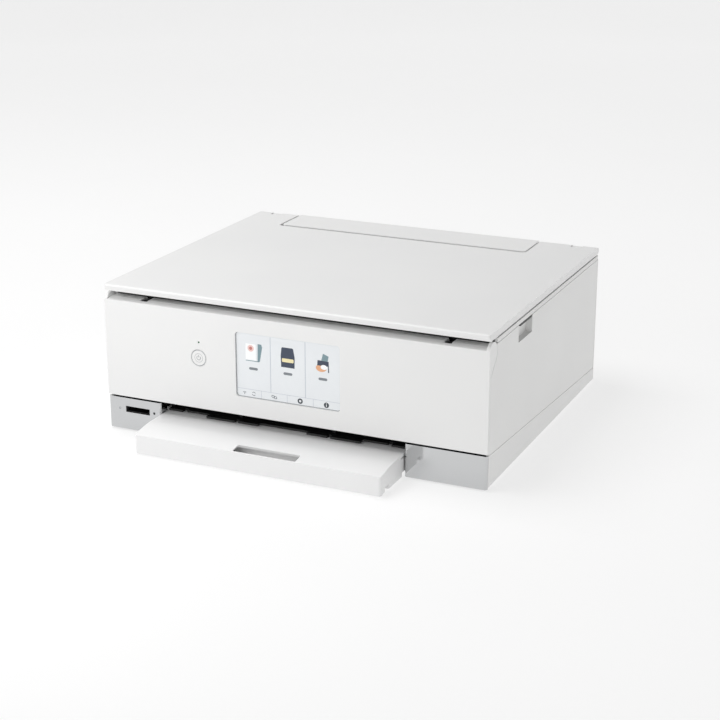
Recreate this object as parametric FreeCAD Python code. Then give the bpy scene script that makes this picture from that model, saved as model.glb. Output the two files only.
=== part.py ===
import FreeCAD, Part
import math
import os

# Compact inkjet printer with a flatbed scanner, in millimetres.
# +X is to the right of a person facing the front, the front faces -Y, +Z is up.
# The origin is under the middle of the overall box, on the surface the feet stand on.

# ---- overall sizes
WIDTH = 372.0
CASE_DEPTH = 310.0
HEIGHT = 139.0
REAR_BULGE = 14.0        # how far the rear transport cover stands behind the case
CASSETTE_REACH = 48.0    # how far the paper cassette stands out in front

# ---- general walls and clearances
WALL = 2.5
FOOT_HEIGHT = 2.5
RUN_GAP = 0.3            # between parts that turn or slide on each other
LOOSE_GAP = 0.6          # between parts that pass each other
SEAM = 0.3               # between two fixed covers

# ---- lid, scanner and hinges
LID_THICKNESS = 6.3
LID_GAP = 1.7
RIM_THICKNESS = 3.8
TUB_DEPTH = 27.2
TUB_WALL = 6.0
GLASS_THICKNESS = 3.0
GLASS_SIZE_X = 312.0
GLASS_SIZE_Y = 222.0
GLASS_LEDGE = 3.0
NOTCH_DEPTH = 50.0       # rear notch in the lid, where the rear paper feed sits
NOTCH_LEFT = 45.0        # from the case side to the notch
NOTCH_RIGHT = 59.0
REAR_COVER_SIDE_GAP = 2.0
REAR_COVER_FRONT_GAP = 4.5
LEG_WIDTH = 10.0
LEG_INSET = 20.5         # from the case side to the middle of a lid leg
LEG_LENGTH = 32.0
LEG_LINK_LAP = 2.0       # how far each leg socket's link laps over the end of the scanner's tub
LID_PIN_R = 1.2
SCANNER_PIN_R = 2.0
SCANNER_HINGE_BACK = 4.0    # hinge line behind the case
SCANNER_HINGE_DROP = 21.0   # hinge line below the top of the lid
CHEEK = 2.6

# ---- operation panel
LOBE_R = 10.0
LOBE_SETBACK = 8.5
LOBE_DROP = 18.5         # lobe axis below the top of the lid
PANEL_BOTTOM = 33.5
PANEL_SLAB = 3.0
PANEL_END_CAP = 3.0      # each end of the panel, left at its full height
CREST_DROP = 12.4        # between the ends, the panel's top edge below the top of the lid
CREST_RISE = 1.5         # from that edge back to the top of the ledge
LID_UNDERCUT = 2.2       # the lid's front edge leans in towards its bottom
SCREEN_WIDTH = 102.0
SCREEN_HEIGHT = 60.0
SCREEN_X = -1.0
SCREEN_BELOW_LOBE = 39.5
SCREEN_RECESS = 1.8
BUTTON_X = -89.2
BUTTON_BELOW_LOBE = 39.0
BUTTON_R = 7.6
BUTTON_TRAVEL = 0.8
PANEL_ARM_INSET = 39.0   # from the case side to a panel hinge arm
PANEL_PIN_R = 2.5

# ---- front blocks and cassette
BLOCK_TOP = 31.8
BLOCK_BOTTOM = 1.5
BLOCK_DEPTH = 24.0
LEFT_BLOCK_WIDTH = 55.5
RIGHT_BLOCK_WIDTH = 75.5
BLOCK_RETURN = 10.0
CARD_SLOT_WIDTH = 25.3
CARD_SLOT_HEIGHT = 5.8
CARD_SLOT_X = 18.0       # from the case side
CARD_SLOT_Z = 18.2
LAMP_R = 1.25
CASSETTE_GAP = 1.0
CASSETTE_TOP = 22.0
CASSETTE_LIP_TOP = 18.6
CASSETTE_WALL = 2.0
BAY_TOP = 24.0
HANDLE_SLOT_WIDTH = 61.0
HANDLE_SLOT_DEPTH = 11.0
HANDLE_SLOT_FLOOR = 6.0
PAPER_LENGTH = 297.0
PAPER_WIDTH = 210.0

# ---- printing mechanism
PLATEN_TOP = 44.0
ROLLER_R = 5.0
ROLLER_PITCH = 24.0
ROLLER_COUNT = 9
EJECT_R = 4.0
STAR_R = 4.5
CARRIAGE_WIDTH = 74.0
TANK_COUNT = 6
BELT_PULLEY_R = 6.0

# ---- places worked out from the sizes above
HALF = WIDTH / 2
FRONT = (CASSETTE_REACH - CASE_DEPTH - REAR_BULGE) / 2
CASE_REAR = FRONT + CASE_DEPTH
REAR = CASE_REAR + REAR_BULGE
TRAY_FRONT = FRONT - CASSETTE_REACH
FLOOR_TOP = FOOT_HEIGHT + WALL
LID_BOTTOM = HEIGHT - LID_THICKNESS
RIM_TOP = LID_BOTTOM - LID_GAP
RIM_BOTTOM = RIM_TOP - RIM_THICKNESS
TUB_BOTTOM = RIM_BOTTOM - TUB_DEPTH
COVER_TOP = RIM_BOTTOM - LOOSE_GAP
LOBE_Y = FRONT + LOBE_SETBACK
LOBE_Z = HEIGHT - LOBE_DROP
CREST_Z = HEIGHT - CREST_DROP
CREST_FRONT_Z = CREST_Z - CREST_RISE
BAY_LEFT = -HALF + LEFT_BLOCK_WIDTH
BAY_RIGHT = HALF - RIGHT_BLOCK_WIDTH
TRAY_LEFT = BAY_LEFT + CASSETTE_GAP
TRAY_RIGHT = BAY_RIGHT - CASSETTE_GAP
PAPER_X = (TRAY_LEFT + TRAY_RIGHT) / 2
NOTCH_X0 = -HALF + NOTCH_LEFT
NOTCH_X1 = HALF - NOTCH_RIGHT
NOTCH_Y = CASE_REAR - NOTCH_DEPTH
RIM_FRONT = LOBE_Y + LOBE_R + 1.0
GLASS_Y0 = RIM_FRONT + 9.5
GLASS_Y1 = GLASS_Y0 + GLASS_SIZE_Y
LID_AXIS_Y = CASE_REAR - LID_THICKNESS / 2
LID_AXIS_Z = HEIGHT - LID_THICKNESS / 2
SCANNER_AXIS_Y = CASE_REAR + SCANNER_HINGE_BACK
SCANNER_AXIS_Z = HEIGHT - SCANNER_HINGE_DROP
REAR_AXIS_Y = CASE_REAR + 2.5
REAR_AXIS_Z = RIM_TOP
INNER_FRAME_Y = LOBE_Y + 11.0
FRAME_X = HALF - 10.0
CARRIAGE_TOP = TUB_BOTTOM - 8.0
RAIL_Y = FRONT + 112.0
FEED_Y = FRONT + 76.0
FEED_Z = PLATEN_TOP - ROLLER_R
EJECT_Y = FRONT + 42.0
EJECT_Z = PLATEN_TOP - EJECT_R - 0.5


def box(x0, x1, y0, y1, z0, z1):
    corner = FreeCAD.Vector(x0, y0, z0)
    return Part.makeBox(x1 - x0, y1 - y0, z1 - z0, corner)


def rod(axis, start, end, centre, radius):
    """A round bar along axis "x", "y" or "z"; centre holds its other two places, in x, y, z order."""
    a, b = centre
    base = {"x": (start, a, b), "y": (a, start, b), "z": (a, b, start)}[axis]
    direction = {"x": (1, 0, 0), "y": (0, 1, 0), "z": (0, 0, 1)}[axis]
    return Part.makeCylinder(radius, end - start, FreeCAD.Vector(*base), FreeCAD.Vector(*direction))


def prism(plane, steps, low, high):
    """A closed outline in plane "yz", "xz" or "xy", carried from low to high along the third axis.
    A step is an end point, or a pair for an arc: a point it passes through and its end point."""
    place = {
        "yz": lambda p: FreeCAD.Vector(low, p[0], p[1]),
        "xz": lambda p: FreeCAD.Vector(p[0], low, p[1]),
        "xy": lambda p: FreeCAD.Vector(p[0], p[1], low),
    }[plane]
    way = {"yz": (1, 0, 0), "xz": (0, 1, 0), "xy": (0, 0, 1)}[plane]
    edges = []
    here = steps[0]
    for step in list(steps[1:]) + [steps[0]]:
        if isinstance(step[0], tuple):
            middle, end = step
            edges.append(Part.Arc(place(here), place(middle), place(end)).toShape())
            here = end
        elif math.dist(here, step) > 1e-6:
            edges.append(Part.makeLine(place(here), place(step)))
            here = step
    return Part.Face(Part.Wire(edges)).extrude(FreeCAD.Vector(*way) * (high - low))


def rounded(plane, a0, a1, b0, b1, low, high, radii):
    """A block whose four corners in the plane are rounded, from (a0, b0) anticlockwise."""
    if not isinstance(radii, (list, tuple)):
        radii = [radii] * 4
    corners = [(a0, b0, 180), (a1, b0, 270), (a1, b1, 0), (a0, b1, 90)]
    steps = []
    for (a, b, start), radius in zip(corners, radii):
        if radius <= 0:
            steps.append((a, b))
            continue
        ca = a + radius if a == a0 else a - radius
        cb = b + radius if b == b0 else b - radius
        spots = []
        for turn in (0, 45, 90):
            angle = math.radians(start + turn)
            spots.append((ca + radius * math.cos(angle), cb + radius * math.sin(angle)))
        steps.append(spots[0])
        steps.append((spots[1], spots[2]))
    return prism(plane, steps, low, high)


def join(pieces):
    shape = pieces[0]
    for piece in pieces[1:]:
        shape = shape.fuse(piece)
    return shape.removeSplitter()


def cut(shape, tools):
    for tool in tools:
        shape = shape.cut(tool)
    return shape


def both_sides(make):
    """The same piece on the right and on the left of the object."""
    right = make()
    left = right.mirror(FreeCAD.Vector(0, 0, 0), FreeCAD.Vector(1, 0, 0))
    return [right, left]


def roller_places():
    """Where the rollers, star wheels and guide ribs stand along the paper's width."""
    return [PAPER_X + ROLLER_PITCH * (i - ROLLER_COUNT // 2) for i in range(ROLLER_COUNT)]


# ---------------------------------------------------------------- lower case

FOOT_R = 7.0
FOOT_INSET_X = 22.0
FOOT_INSET_Y = 30.0
SEAM_FRONT_Z = 30.0
SEAM_REAR_Z = 14.0
BLOCK_REAR = FRONT + BLOCK_DEPTH
BLOCK_PLATE_REAR = FRONT + PANEL_SLAB
INLET_X = -HALF + 19.0
INLET_Z = 40.0
INLET_WIDTH = 20.0
INLET_HEIGHT = 13.0
USB_X = HALF - 17.0
USB_Z = 42.0
USB_SIZE = 13.0
TRANSPORT_X0 = -HALF + 36.0
TRANSPORT_X1 = HALF - 50.0
TRANSPORT_Z0 = 30.0
TRANSPORT_Z1 = TUB_BOTTOM
SOCKET_HALF = LEG_WIDTH / 2 + 3.5
LEG_X = HALF - LEG_INSET
GRIP_Y0 = FRONT + 73.0
GRIP_Y1 = GRIP_Y0 + 36.0
GRIP_HEIGHT = 15.6
GRIP_DEPTH = 6.0
GRIP_SHELL = 1.5          # plastic left round each finger grip


def foot_places():
    for x in (-HALF + FOOT_INSET_X, HALF - FOOT_INSET_X):
        for y in (BLOCK_REAR + 12.0, CASE_REAR - FOOT_INSET_Y):
            yield x, y


def rubber_feet():
    return [rod("z", 0, FOOT_HEIGHT, place, FOOT_R) for place in foot_places()]


def seam_height(y):
    """Height of the sloping seam between the bottom case and the side covers."""
    slope = (SEAM_FRONT_Z - SEAM_REAR_Z) / (CASE_REAR - BLOCK_REAR)
    return SEAM_FRONT_Z + slope * (BLOCK_REAR - y)


def base_profile(front_y, rear_y):
    return [
        (front_y, FOOT_HEIGHT),
        (rear_y, FOOT_HEIGHT),
        (rear_y, seam_height(rear_y)),
        (front_y, seam_height(front_y)),
    ]


def front_skirt():
    return prism("yz", base_profile(BLOCK_PLATE_REAR + SEAM, BLOCK_REAR + 2), HALF - WALL, HALF)


def bottom_case():
    outer = prism("yz", base_profile(BLOCK_REAR + SEAM, CASE_REAR), -HALF, HALF)
    inside = box(-HALF + WALL, HALF - WALL, FRONT, CASE_REAR - WALL, FLOOR_TOP, BLOCK_TOP)
    shell = outer.cut(inside)
    tongue_y = FRONT + BLOCK_RETURN + SEAM
    tongue = box(-HALF + WALL + SEAM, HALF - WALL - SEAM, tongue_y, BLOCK_REAR + 2, FOOT_HEIGHT, FLOOR_TOP)
    ribs = []
    for x0 in (BAY_LEFT - CASSETTE_WALL, BAY_RIGHT):
        ribs.append(box(x0, x0 + CASSETTE_WALL, FRONT + 4.0 + BLOCK_RETURN, CASE_REAR - 40,
                        FLOOR_TOP - 1, BAY_TOP))
    shape = join([shell, tongue] + ribs + both_sides(front_skirt))
    front_gap = box(BAY_LEFT, BAY_RIGHT, FRONT - 1, TONGUE_END + CASSETTE_REACH + 2, 0, FLOOR_TOP + 0.1)
    return [shape.cut(front_gap)]


def side_outline(offset):
    """The front edge of a side cover, kept a little behind the panel's own end."""
    slab_y = FRONT + PANEL_SLAB + offset
    r = LOBE_R + offset
    low = math.radians(-35)
    high = math.asin((COVER_TOP - LOBE_Z) / r)
    entry = (LOBE_Y + r * math.cos(low), LOBE_Z + r * math.sin(low))
    middle = (LOBE_Y + r, LOBE_Z)
    top = (LOBE_Y + r * math.cos(high), LOBE_Z + r * math.sin(high))
    return slab_y, entry, middle, top


def side_cover():
    slab_y, entry, middle, top = side_outline(LOOSE_GAP + 0.2)
    rear_y = CASE_REAR - WALL - SEAM
    outer = prism(
        "yz",
        [
            (slab_y, seam_height(slab_y) + SEAM),
            (rear_y, seam_height(rear_y) + SEAM),
            (rear_y, COVER_TOP),
            top,
            (middle, entry),
            (slab_y, LOBE_Z - 20.4),
        ],
        HALF - WALL,
        HALF,
    )
    pocket = box(HALF - GRIP_DEPTH - GRIP_SHELL, HALF - 1, GRIP_Y0 - GRIP_SHELL, GRIP_Y1 + GRIP_SHELL,
                 COVER_TOP - GRIP_HEIGHT - GRIP_SHELL,
                 COVER_TOP)
    hollow = box(HALF - GRIP_DEPTH, HALF + 1, GRIP_Y0, GRIP_Y1, COVER_TOP - GRIP_HEIGHT, COVER_TOP + 1)
    return outer.fuse(pocket).removeSplitter().cut(hollow)


def rear_cover():
    wall = box(-HALF, HALF, CASE_REAR - WALL, CASE_REAR, SEAM_REAR_Z + SEAM, COVER_TOP)
    cuts = [
        rounded("xz", INLET_X - INLET_WIDTH / 2, INLET_X + INLET_WIDTH / 2, INLET_Z - INLET_HEIGHT / 2,
                INLET_Z + INLET_HEIGHT / 2, CASE_REAR - 5, CASE_REAR + 1, 3.0),
        box(USB_X - USB_SIZE / 2, USB_X + USB_SIZE / 2, CASE_REAR - 5, CASE_REAR + 1,
            USB_Z - USB_SIZE / 2, USB_Z + USB_SIZE / 2),
        box(TRANSPORT_X0 + 4, TRANSPORT_X1 - 4, CASE_REAR - 5, CASE_REAR + 1, TRANSPORT_Z0 + 4,
            TRANSPORT_Z1 - 4),
    ]
    for side in (-1, 1):
        middle = side * LEG_X
        half = SOCKET_HALF + LOOSE_GAP
        cuts.append(box(middle - half, middle + half, CASE_REAR - 5, CASE_REAR + 1, TUB_BOTTOM,
                        COVER_TOP + 1))
    wall = cut(wall, cuts)
    cheeks = []
    for side in (-1, 1):
        for x in cheek_places():
            low, high = sorted((side * x, side * (x + CHEEK)))
            ear = rounded("yz", CASE_REAR - 1, SCANNER_AXIS_Y + 4.5, SCANNER_AXIS_Z - 9, SCANNER_AXIS_Z + 4.5,
                          low, high, [0, 4, 4, 0])
            cheeks.append(ear)
        for x in rear_cheeks():
            cheeks.append(rear_hinge_ear(x))
    shape = join([wall] + cheeks)
    holes = [rod("x", -HALF, HALF, (SCANNER_AXIS_Y, SCANNER_AXIS_Z), SCANNER_PIN_R)]
    holes.append(rod("x", NOTCH_X0, NOTCH_X1, (REAR_AXIS_Y, REAR_AXIS_Z), LID_PIN_R))
    return [cut(shape, holes)]


def cheek_places():
    """Inner faces of the two scanner hinge cheeks at one end, from the middle outwards."""
    first = LEG_X + SOCKET_HALF + LOOSE_GAP
    return [first, first + CHEEK + 3.8]


def rear_cheeks():
    return [NOTCH_X0 + 5.0, NOTCH_X1 - 5.0 - CHEEK]


def rear_hinge_ear(x):
    root = box(x, x + CHEEK, CASE_REAR - 1, REAR_AXIS_Y + 3, COVER_TOP - 8, COVER_TOP)
    neck = box(x, x + CHEEK, CASE_REAR, REAR_AXIS_Y + 3, COVER_TOP - 1, REAR_AXIS_Z)
    eye = rod("x", x, x + CHEEK, (REAR_AXIS_Y, REAR_AXIS_Z), 3.0)
    ahead = box(x - 1, x + CHEEK + 1, CASE_REAR - 9, CASE_REAR + 0.4, COVER_TOP, HEIGHT)
    return join([root, neck, eye]).cut(ahead)


def rear_transport_cover():
    outer = rounded("xy", TRANSPORT_X0, TRANSPORT_X1, CASE_REAR + 0.2, REAR, TRANSPORT_Z0, TRANSPORT_Z1,
                    [0, 0, 8, 8])
    inner = box(TRANSPORT_X0 + WALL, TRANSPORT_X1 - WALL, CASE_REAR, REAR - WALL, TRANSPORT_Z0 + WALL,
                TRANSPORT_Z1 - WALL)
    shell = outer.cut(inner)
    ribs = []
    for x in roller_places():
        rib = prism(
            "yz",
            [
                (CASE_REAR - 16, 40.0),
                ((CASE_REAR + 4, (TUB_BOTTOM + 28) / 2), (CASE_REAR - 16, TUB_BOTTOM - 14)),
                (REAR - WALL + 0.5, TUB_BOTTOM - 14),
                (REAR - WALL + 0.5, 40.0),
            ],
            x - 0.8,
            x + 0.8,
        )
        ribs.append(rib)
    return [join([shell] + ribs)]


def block_side_cut(x0, x1):
    """The space behind a block's front plate where the bottom case and side cover come forward."""
    return box(x0, x1, BLOCK_PLATE_REAR, BLOCK_REAR + 1, BLOCK_BOTTOM - 1, BLOCK_TOP + 1)


def left_front_block():
    x0, x1 = -HALF, BAY_LEFT
    outer = rounded("xy", x0, x1, FRONT, BLOCK_REAR, BLOCK_BOTTOM, BLOCK_TOP, [WALL, 2.5, 0, 0])
    slot_x0 = x0 + CARD_SLOT_X
    cuts = [
        box(x0 + WALL, x1 - WALL, FRONT + WALL, BLOCK_REAR + 1, BLOCK_BOTTOM - 1, BLOCK_TOP - WALL),
        box(x1 - WALL - 1, x1 + 1, FRONT + BLOCK_RETURN, BLOCK_REAR + 1, BLOCK_BOTTOM - 1, BLOCK_TOP + 1),
        box(slot_x0, slot_x0 + CARD_SLOT_WIDTH, FRONT - 1, FRONT + WALL + 1, CARD_SLOT_Z,
            CARD_SLOT_Z + CARD_SLOT_HEIGHT),
        rod("y", FRONT - 1, FRONT + WALL + 1, lamp_place(), LAMP_R),
        block_side_cut(-HALF - 1, -HALF + WALL + SEAM),
    ]
    return [cut(outer, cuts)]


def right_front_block():
    x0, x1 = BAY_RIGHT, HALF
    outer = rounded("xy", x0, x1, FRONT, BLOCK_REAR, BLOCK_BOTTOM, BLOCK_TOP, [2.5, WALL, 0, 0])
    cuts = [
        box(x0 + WALL, x1 - WALL, FRONT + WALL, BLOCK_REAR + 1, BLOCK_BOTTOM - 1, BLOCK_TOP - WALL),
        box(x0 - 1, x0 + WALL + 1, FRONT + BLOCK_RETURN, BLOCK_REAR + 1, BLOCK_BOTTOM - 1, BLOCK_TOP + 1),
        block_side_cut(HALF - WALL - SEAM, HALF + 1),
    ]
    return [cut(outer, cuts)]


def lamp_place():
    return -HALF + CARD_SLOT_X + CARD_SLOT_WIDTH + 4.8, CARD_SLOT_Z + 2.7


def card_reader():
    x0 = -HALF + CARD_SLOT_X - 1.5
    x1 = x0 + CARD_SLOT_WIDTH + 3.0
    y0 = FRONT + WALL + 0.1
    body = box(x0, x1, y0, BLOCK_REAR - 1.0, CARD_SLOT_Z - 1.5, CARD_SLOT_Z + CARD_SLOT_HEIGHT + 1.5)
    hollow = box(x0 + 2, x1 - 2, y0 - 1, BLOCK_REAR - 3.0, CARD_SLOT_Z + 0.4,
                 CARD_SLOT_Z + CARD_SLOT_HEIGHT - 0.4)
    return [body.cut(hollow)]


def access_lamp():
    return [rod("y", FRONT + 0.1, FRONT + 12, lamp_place(), LAMP_R)]


# ---------------------------------------------------------------- paper cassette

BASE_LEFT = TRAY_LEFT + CASSETTE_WALL + RUN_GAP
BASE_RIGHT = TRAY_RIGHT - CASSETTE_WALL - RUN_GAP
BASE_FLOOR = FLOOR_TOP + 0.5
FINGER_POCKET = 15.0
PAPER_FRONT = TRAY_FRONT + WALL + FINGER_POCKET + CASSETTE_WALL
PAPER_REAR = PAPER_FRONT + PAPER_LENGTH
COVER_REAR = FRONT + 158.0
WALL_TOP = CASSETTE_LIP_TOP - 0.2
SIDE_RAIL_END = FRONT + 38.0
TONGUE_END = FRONT + 20.0


def cassette_base():
    y0, y1 = PAPER_FRONT + CASSETTE_REACH + LOOSE_GAP, PAPER_REAR + 3.0
    outer = rounded("xy", BASE_LEFT, BASE_RIGHT, y0, y1, BASE_FLOOR, WALL_TOP, [0, 0, 5, 5])
    inner = box(BASE_LEFT + CASSETTE_WALL, BASE_RIGHT - CASSETTE_WALL, y0 - 1, y1 - CASSETTE_WALL,
                BASE_FLOOR + CASSETTE_WALL, WALL_TOP + 1)
    slots = []
    for x in (PAPER_X - PAPER_WIDTH / 2 - 4, PAPER_X + PAPER_WIDTH / 2 - 40):
        slots.append(box(x, x + 44, FRONT + 118, FRONT + 121, BASE_FLOOR - 1, BASE_FLOOR + 3))
    return [cut(outer, [inner] + slots)]


# Strips of the exit lip: from, to (from the middle of the paper), and how far behind the front face.
EXIT_LIP = 1.8
EXIT_POST = 3.0
EXIT_POST_X = 45.0
EXIT_POST_ROOT = 1.0      # how far each post runs into the plate behind it
EXIT_STEPS = [
    (0.0, 24.0, 10.0),
    (24.0, 44.5, 6.2),
    (44.5, 47.5, 9.6),
    (47.5, 76.5, 5.6),
    (76.5, 100.0, 12.0),
    (100.0, 104.0, 16.0),
    (104.0, 118.0, 10.5),
]

SLOT_X0 = SCREEN_X - HANDLE_SLOT_WIDTH / 2
SLOT_X1 = SCREEN_X + HANDLE_SLOT_WIDTH / 2
SLOT_Y0 = TRAY_FRONT + 1.2


def cassette_front():
    bottom = BLOCK_BOTTOM + 0.2
    front_wall = rounded("xy", TRAY_LEFT, TRAY_RIGHT, TRAY_FRONT, TRAY_FRONT + WALL + 2, 1.0, WALL_TOP,
                         [2.5, 2.5, 0, 0])
    front_wall = front_wall.cut(box(TRAY_LEFT + 2.5, TRAY_RIGHT - 2.5, TRAY_FRONT + WALL,
                                    TRAY_FRONT + 20, 3.7, 40))
    floor = box(TRAY_LEFT, TRAY_RIGHT, TRAY_FRONT + WALL, FRONT - 2.0, bottom, bottom + CASSETTE_WALL)
    tongue = box(BASE_LEFT, BASE_RIGHT, TRAY_FRONT + WALL, TONGUE_END, bottom + CASSETTE_WALL - 0.1,
                 BASE_FLOOR - RUN_GAP)
    inner_wall = box(TRAY_LEFT, TRAY_RIGHT, PAPER_FRONT - CASSETTE_WALL, PAPER_FRONT, bottom, WALL_TOP)
    sides = []
    for x in (TRAY_LEFT, TRAY_RIGHT - CASSETTE_WALL):
        rail = prism(
            "yz",
            [
                (TRAY_FRONT + WALL, bottom),
                (FRONT - 2.0, bottom),
                (FRONT - 2.0, BASE_FLOOR),
                (SIDE_RAIL_END, BASE_FLOOR),
                (SIDE_RAIL_END, WALL_TOP),
                (TRAY_FRONT + WALL, WALL_TOP),
            ],
            x,
            x + CASSETTE_WALL,
        )
        sides.append(rail)
    shape = join([front_wall, floor, tongue, inner_wall] + sides)
    notch = box(TRAY_RIGHT - 3, TRAY_RIGHT + 1, TRAY_FRONT + 9, TRAY_FRONT + 17, 0, 6.0)
    finger_room = box(SLOT_X0, SLOT_X1, SLOT_Y0, TRAY_FRONT + WALL + 1, HANDLE_SLOT_FLOOR, WALL_TOP + 1)
    return [cut(shape, [notch, finger_room])]


def cassette_cover():
    top, lip = CASSETTE_TOP, CASSETTE_LIP_TOP
    slope_start = TRAY_FRONT + 28.0
    steps = [
        (TRAY_FRONT, lip - 0.2),
        (TRAY_FRONT, lip),
        ((TRAY_FRONT + 6.5, lip + 1.1), (TRAY_FRONT + 14, lip + 2.2)),
        ((TRAY_FRONT + 21, top - 0.4), (slope_start, top)),
        (COVER_REAR, top),
        (COVER_REAR, top - WALL),
        (PAPER_FRONT, top - WALL),
        (PAPER_FRONT, lip - 0.2),
    ]
    slab = prism("yz", steps, TRAY_LEFT, TRAY_RIGHT)
    hollow = box(TRAY_LEFT + 2, TRAY_RIGHT - 2, PAPER_FRONT - 1, COVER_REAR + 1, WALL_TOP - 1, top - WALL)
    slot = rounded("xy", SLOT_X0, SLOT_X1, SLOT_Y0, SLOT_Y0 + HANDLE_SLOT_DEPTH, lip - 2, top + 1, 1.5)
    skirts = []
    for x in (TRAY_LEFT, TRAY_RIGHT - 2.0):
        skirts.append(box(x, x + 2.0, PAPER_FRONT - 1, FRONT - 4, WALL_TOP, top - 1))
    return [cut(join([slab] + skirts), [hollow, slot])]


def cassette_guide_left():
    x = PAPER_X - PAPER_WIDTH / 2
    y = FRONT + 119.5
    wall = box(x - 2, x, y - 22, y + 22, BASE_FLOOR + CASSETTE_WALL + RUN_GAP, WALL_TOP - 1)
    base = BASE_FLOOR + CASSETTE_WALL
    left_end = max(x - 14, BASE_LEFT + CASSETTE_WALL + LOOSE_GAP)
    foot = box(left_end, x, y - 10, y + 10, base + RUN_GAP, base + 1.8)
    return [join([wall, foot])]


def cassette_guide_right():
    x = PAPER_X + PAPER_WIDTH / 2
    y = FRONT + 119.5
    base = BASE_FLOOR + CASSETTE_WALL
    right_end = min(x + 8, BASE_RIGHT - CASSETTE_WALL - LOOSE_GAP)
    wall = box(x, x + 2, y - 22, y + 22, base + RUN_GAP, WALL_TOP - 1)
    foot = box(x, right_end, y - 10, y + 10, base + RUN_GAP, base + 1.8)
    return [join([wall, foot])]


def cassette_end_guide():
    base = BASE_FLOOR + CASSETTE_WALL
    plate = rounded("xz", PAPER_X - 16, PAPER_X + 16, base + RUN_GAP, WALL_TOP - 1, PAPER_REAR - 2,
                    PAPER_REAR - 0.2, [0, 0, 3, 3])
    foot = box(PAPER_X - 10, PAPER_X + 10, PAPER_REAR - 24, PAPER_REAR - 1, base + RUN_GAP, base + 1.8)
    return [join([plate, foot])]


# ---------------------------------------------------------------- operation panel

def panel_outline(face, offset=0.0):
    slab_y, entry, middle, top = side_outline(offset)
    crest = (LOBE_Y, LOBE_Z + LOBE_R)
    rise = math.sqrt(LOBE_R ** 2 - LOBE_SETBACK ** 2)
    over = math.radians(115)
    bend = (LOBE_Y + LOBE_R * math.cos(over), LOBE_Z + LOBE_R * math.sin(over))
    return [
        (face, PANEL_BOTTOM),
        (face, LOBE_Z + rise),
        (bend, crest),
        (middle, entry),
        (slab_y, LOBE_Z - 20.0),
        (slab_y, PANEL_BOTTOM),
    ]


SCREEN_TOP = LOBE_Z + SCREEN_HEIGHT / 2 - SCREEN_BELOW_LOBE
SCREEN_LOW = SCREEN_TOP - SCREEN_HEIGHT
SCREEN_X0 = SCREEN_X - SCREEN_WIDTH / 2
SCREEN_X1 = SCREEN_X + SCREEN_WIDTH / 2
BUTTON_Z = LOBE_Z - BUTTON_BELOW_LOBE
POWER_LAMP = (BUTTON_X + 0.5, BUTTON_Z + 14.7)
HOUSING_TOP = LOBE_Z - 13.0
HOUSING_LOW_Z = PANEL_BOTTOM + 5.0
HOUSING_X = 140.0
HOUSING_REAR = FRONT + 17.0
SLAB_REAR = FRONT + PANEL_SLAB
ARM_X = HALF - PANEL_ARM_INSET


def operation_panel():
    shape = prism("yz", panel_outline(FRONT), -HALF, HALF)
    below_crest = box(-HALF, HALF, FRONT, LOBE_Y + LOBE_R, LOBE_Z - LOBE_R, CREST_Z - 1.7)
    crest_cut = prism(
        "yz",
        [
            (FRONT - 1, CREST_FRONT_Z),
            (FRONT, CREST_FRONT_Z),
            (LOBE_Y - 1.5, CREST_Z),
            (LOBE_Y + LOBE_R + 1, CREST_Z),
            (LOBE_Y + LOBE_R + 1, HEIGHT),
            (FRONT - 1, HEIGHT),
        ],
        -HALF + PANEL_END_CAP,
        HALF - PANEL_END_CAP,
    )
    cuts = [
        rod("x", -HALF + WALL, HALF - WALL, (LOBE_Y, LOBE_Z), LOBE_R - 3.5).common(below_crest),
        rounded("xz", SCREEN_X0, SCREEN_X1, SCREEN_LOW, SCREEN_TOP, FRONT - 1, SLAB_REAR + 1, 3.0),
        rod("y", FRONT - 1, SLAB_REAR + 1, (BUTTON_X, BUTTON_Z), BUTTON_R + RUN_GAP),
        rod("y", FRONT - 1, SLAB_REAR + 1, POWER_LAMP, 0.9),
        box(-HOUSING_X - 0.1, HOUSING_X + 0.1, SLAB_REAR, HOUSING_REAR + 1, HOUSING_LOW_Z, HOUSING_TOP + 0.1),
    ]
    for side in (-1, 1):
        x0, x1 = side * ARM_X - 3.6, side * ARM_X + 3.6
        cuts.append(rod("x", x0, x1, (LOBE_Y, LOBE_Z), 7.0))
        cuts.append(box(x0, x1, LOBE_Y, LOBE_Y + 12, LOBE_Z - 12, LOBE_Z + 12))
    bosses = []
    for side in (-1, 1):
        low, high = sorted((side * (ARM_X + 3.6), side * (ARM_X + 7.6)))
        bosses.append(rod("x", low, high, (LOBE_Y, LOBE_Z), LOBE_R - 3.0))
        low, high = sorted((side * (ARM_X - 3.6), side * (ARM_X - 7.6)))
        bosses.append(rod("x", low, high, (LOBE_Y, LOBE_Z), LOBE_R - 3.0))
    shape = join([cut(shape, cuts)] + bosses)
    bores = [crest_cut]
    for side in (-1, 1):
        bores.append(rod("x", side * ARM_X - 8, side * ARM_X + 8, (LOBE_Y, LOBE_Z), PANEL_PIN_R + RUN_GAP))
    return [cut(shape, bores)]


def panel_rear_housing():
    outer = rounded("xz", -HOUSING_X, HOUSING_X, HOUSING_LOW_Z, HOUSING_TOP, SLAB_REAR, HOUSING_REAR, 4.0)
    inner = rounded("xz", -HOUSING_X + 2, HOUSING_X - 2, HOUSING_LOW_Z + 2, HOUSING_TOP - 2, SLAB_REAR - 1,
                    HOUSING_REAR - 2, 3.0)
    return [outer.cut(inner)]


def touch_screen():
    y0 = FRONT + SCREEN_RECESS
    return [rounded("xz", SCREEN_X0 + 0.1, SCREEN_X1 - 0.1, SCREEN_LOW + 0.1, SCREEN_TOP - 0.1, y0,
                    SLAB_REAR, 2.9)]


def display_module():
    return [box(SCREEN_X0 - 3, SCREEN_X1 + 3, SLAB_REAR, SLAB_REAR + 5.0, SCREEN_LOW - 2, HOUSING_TOP - 2.2)]


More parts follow.
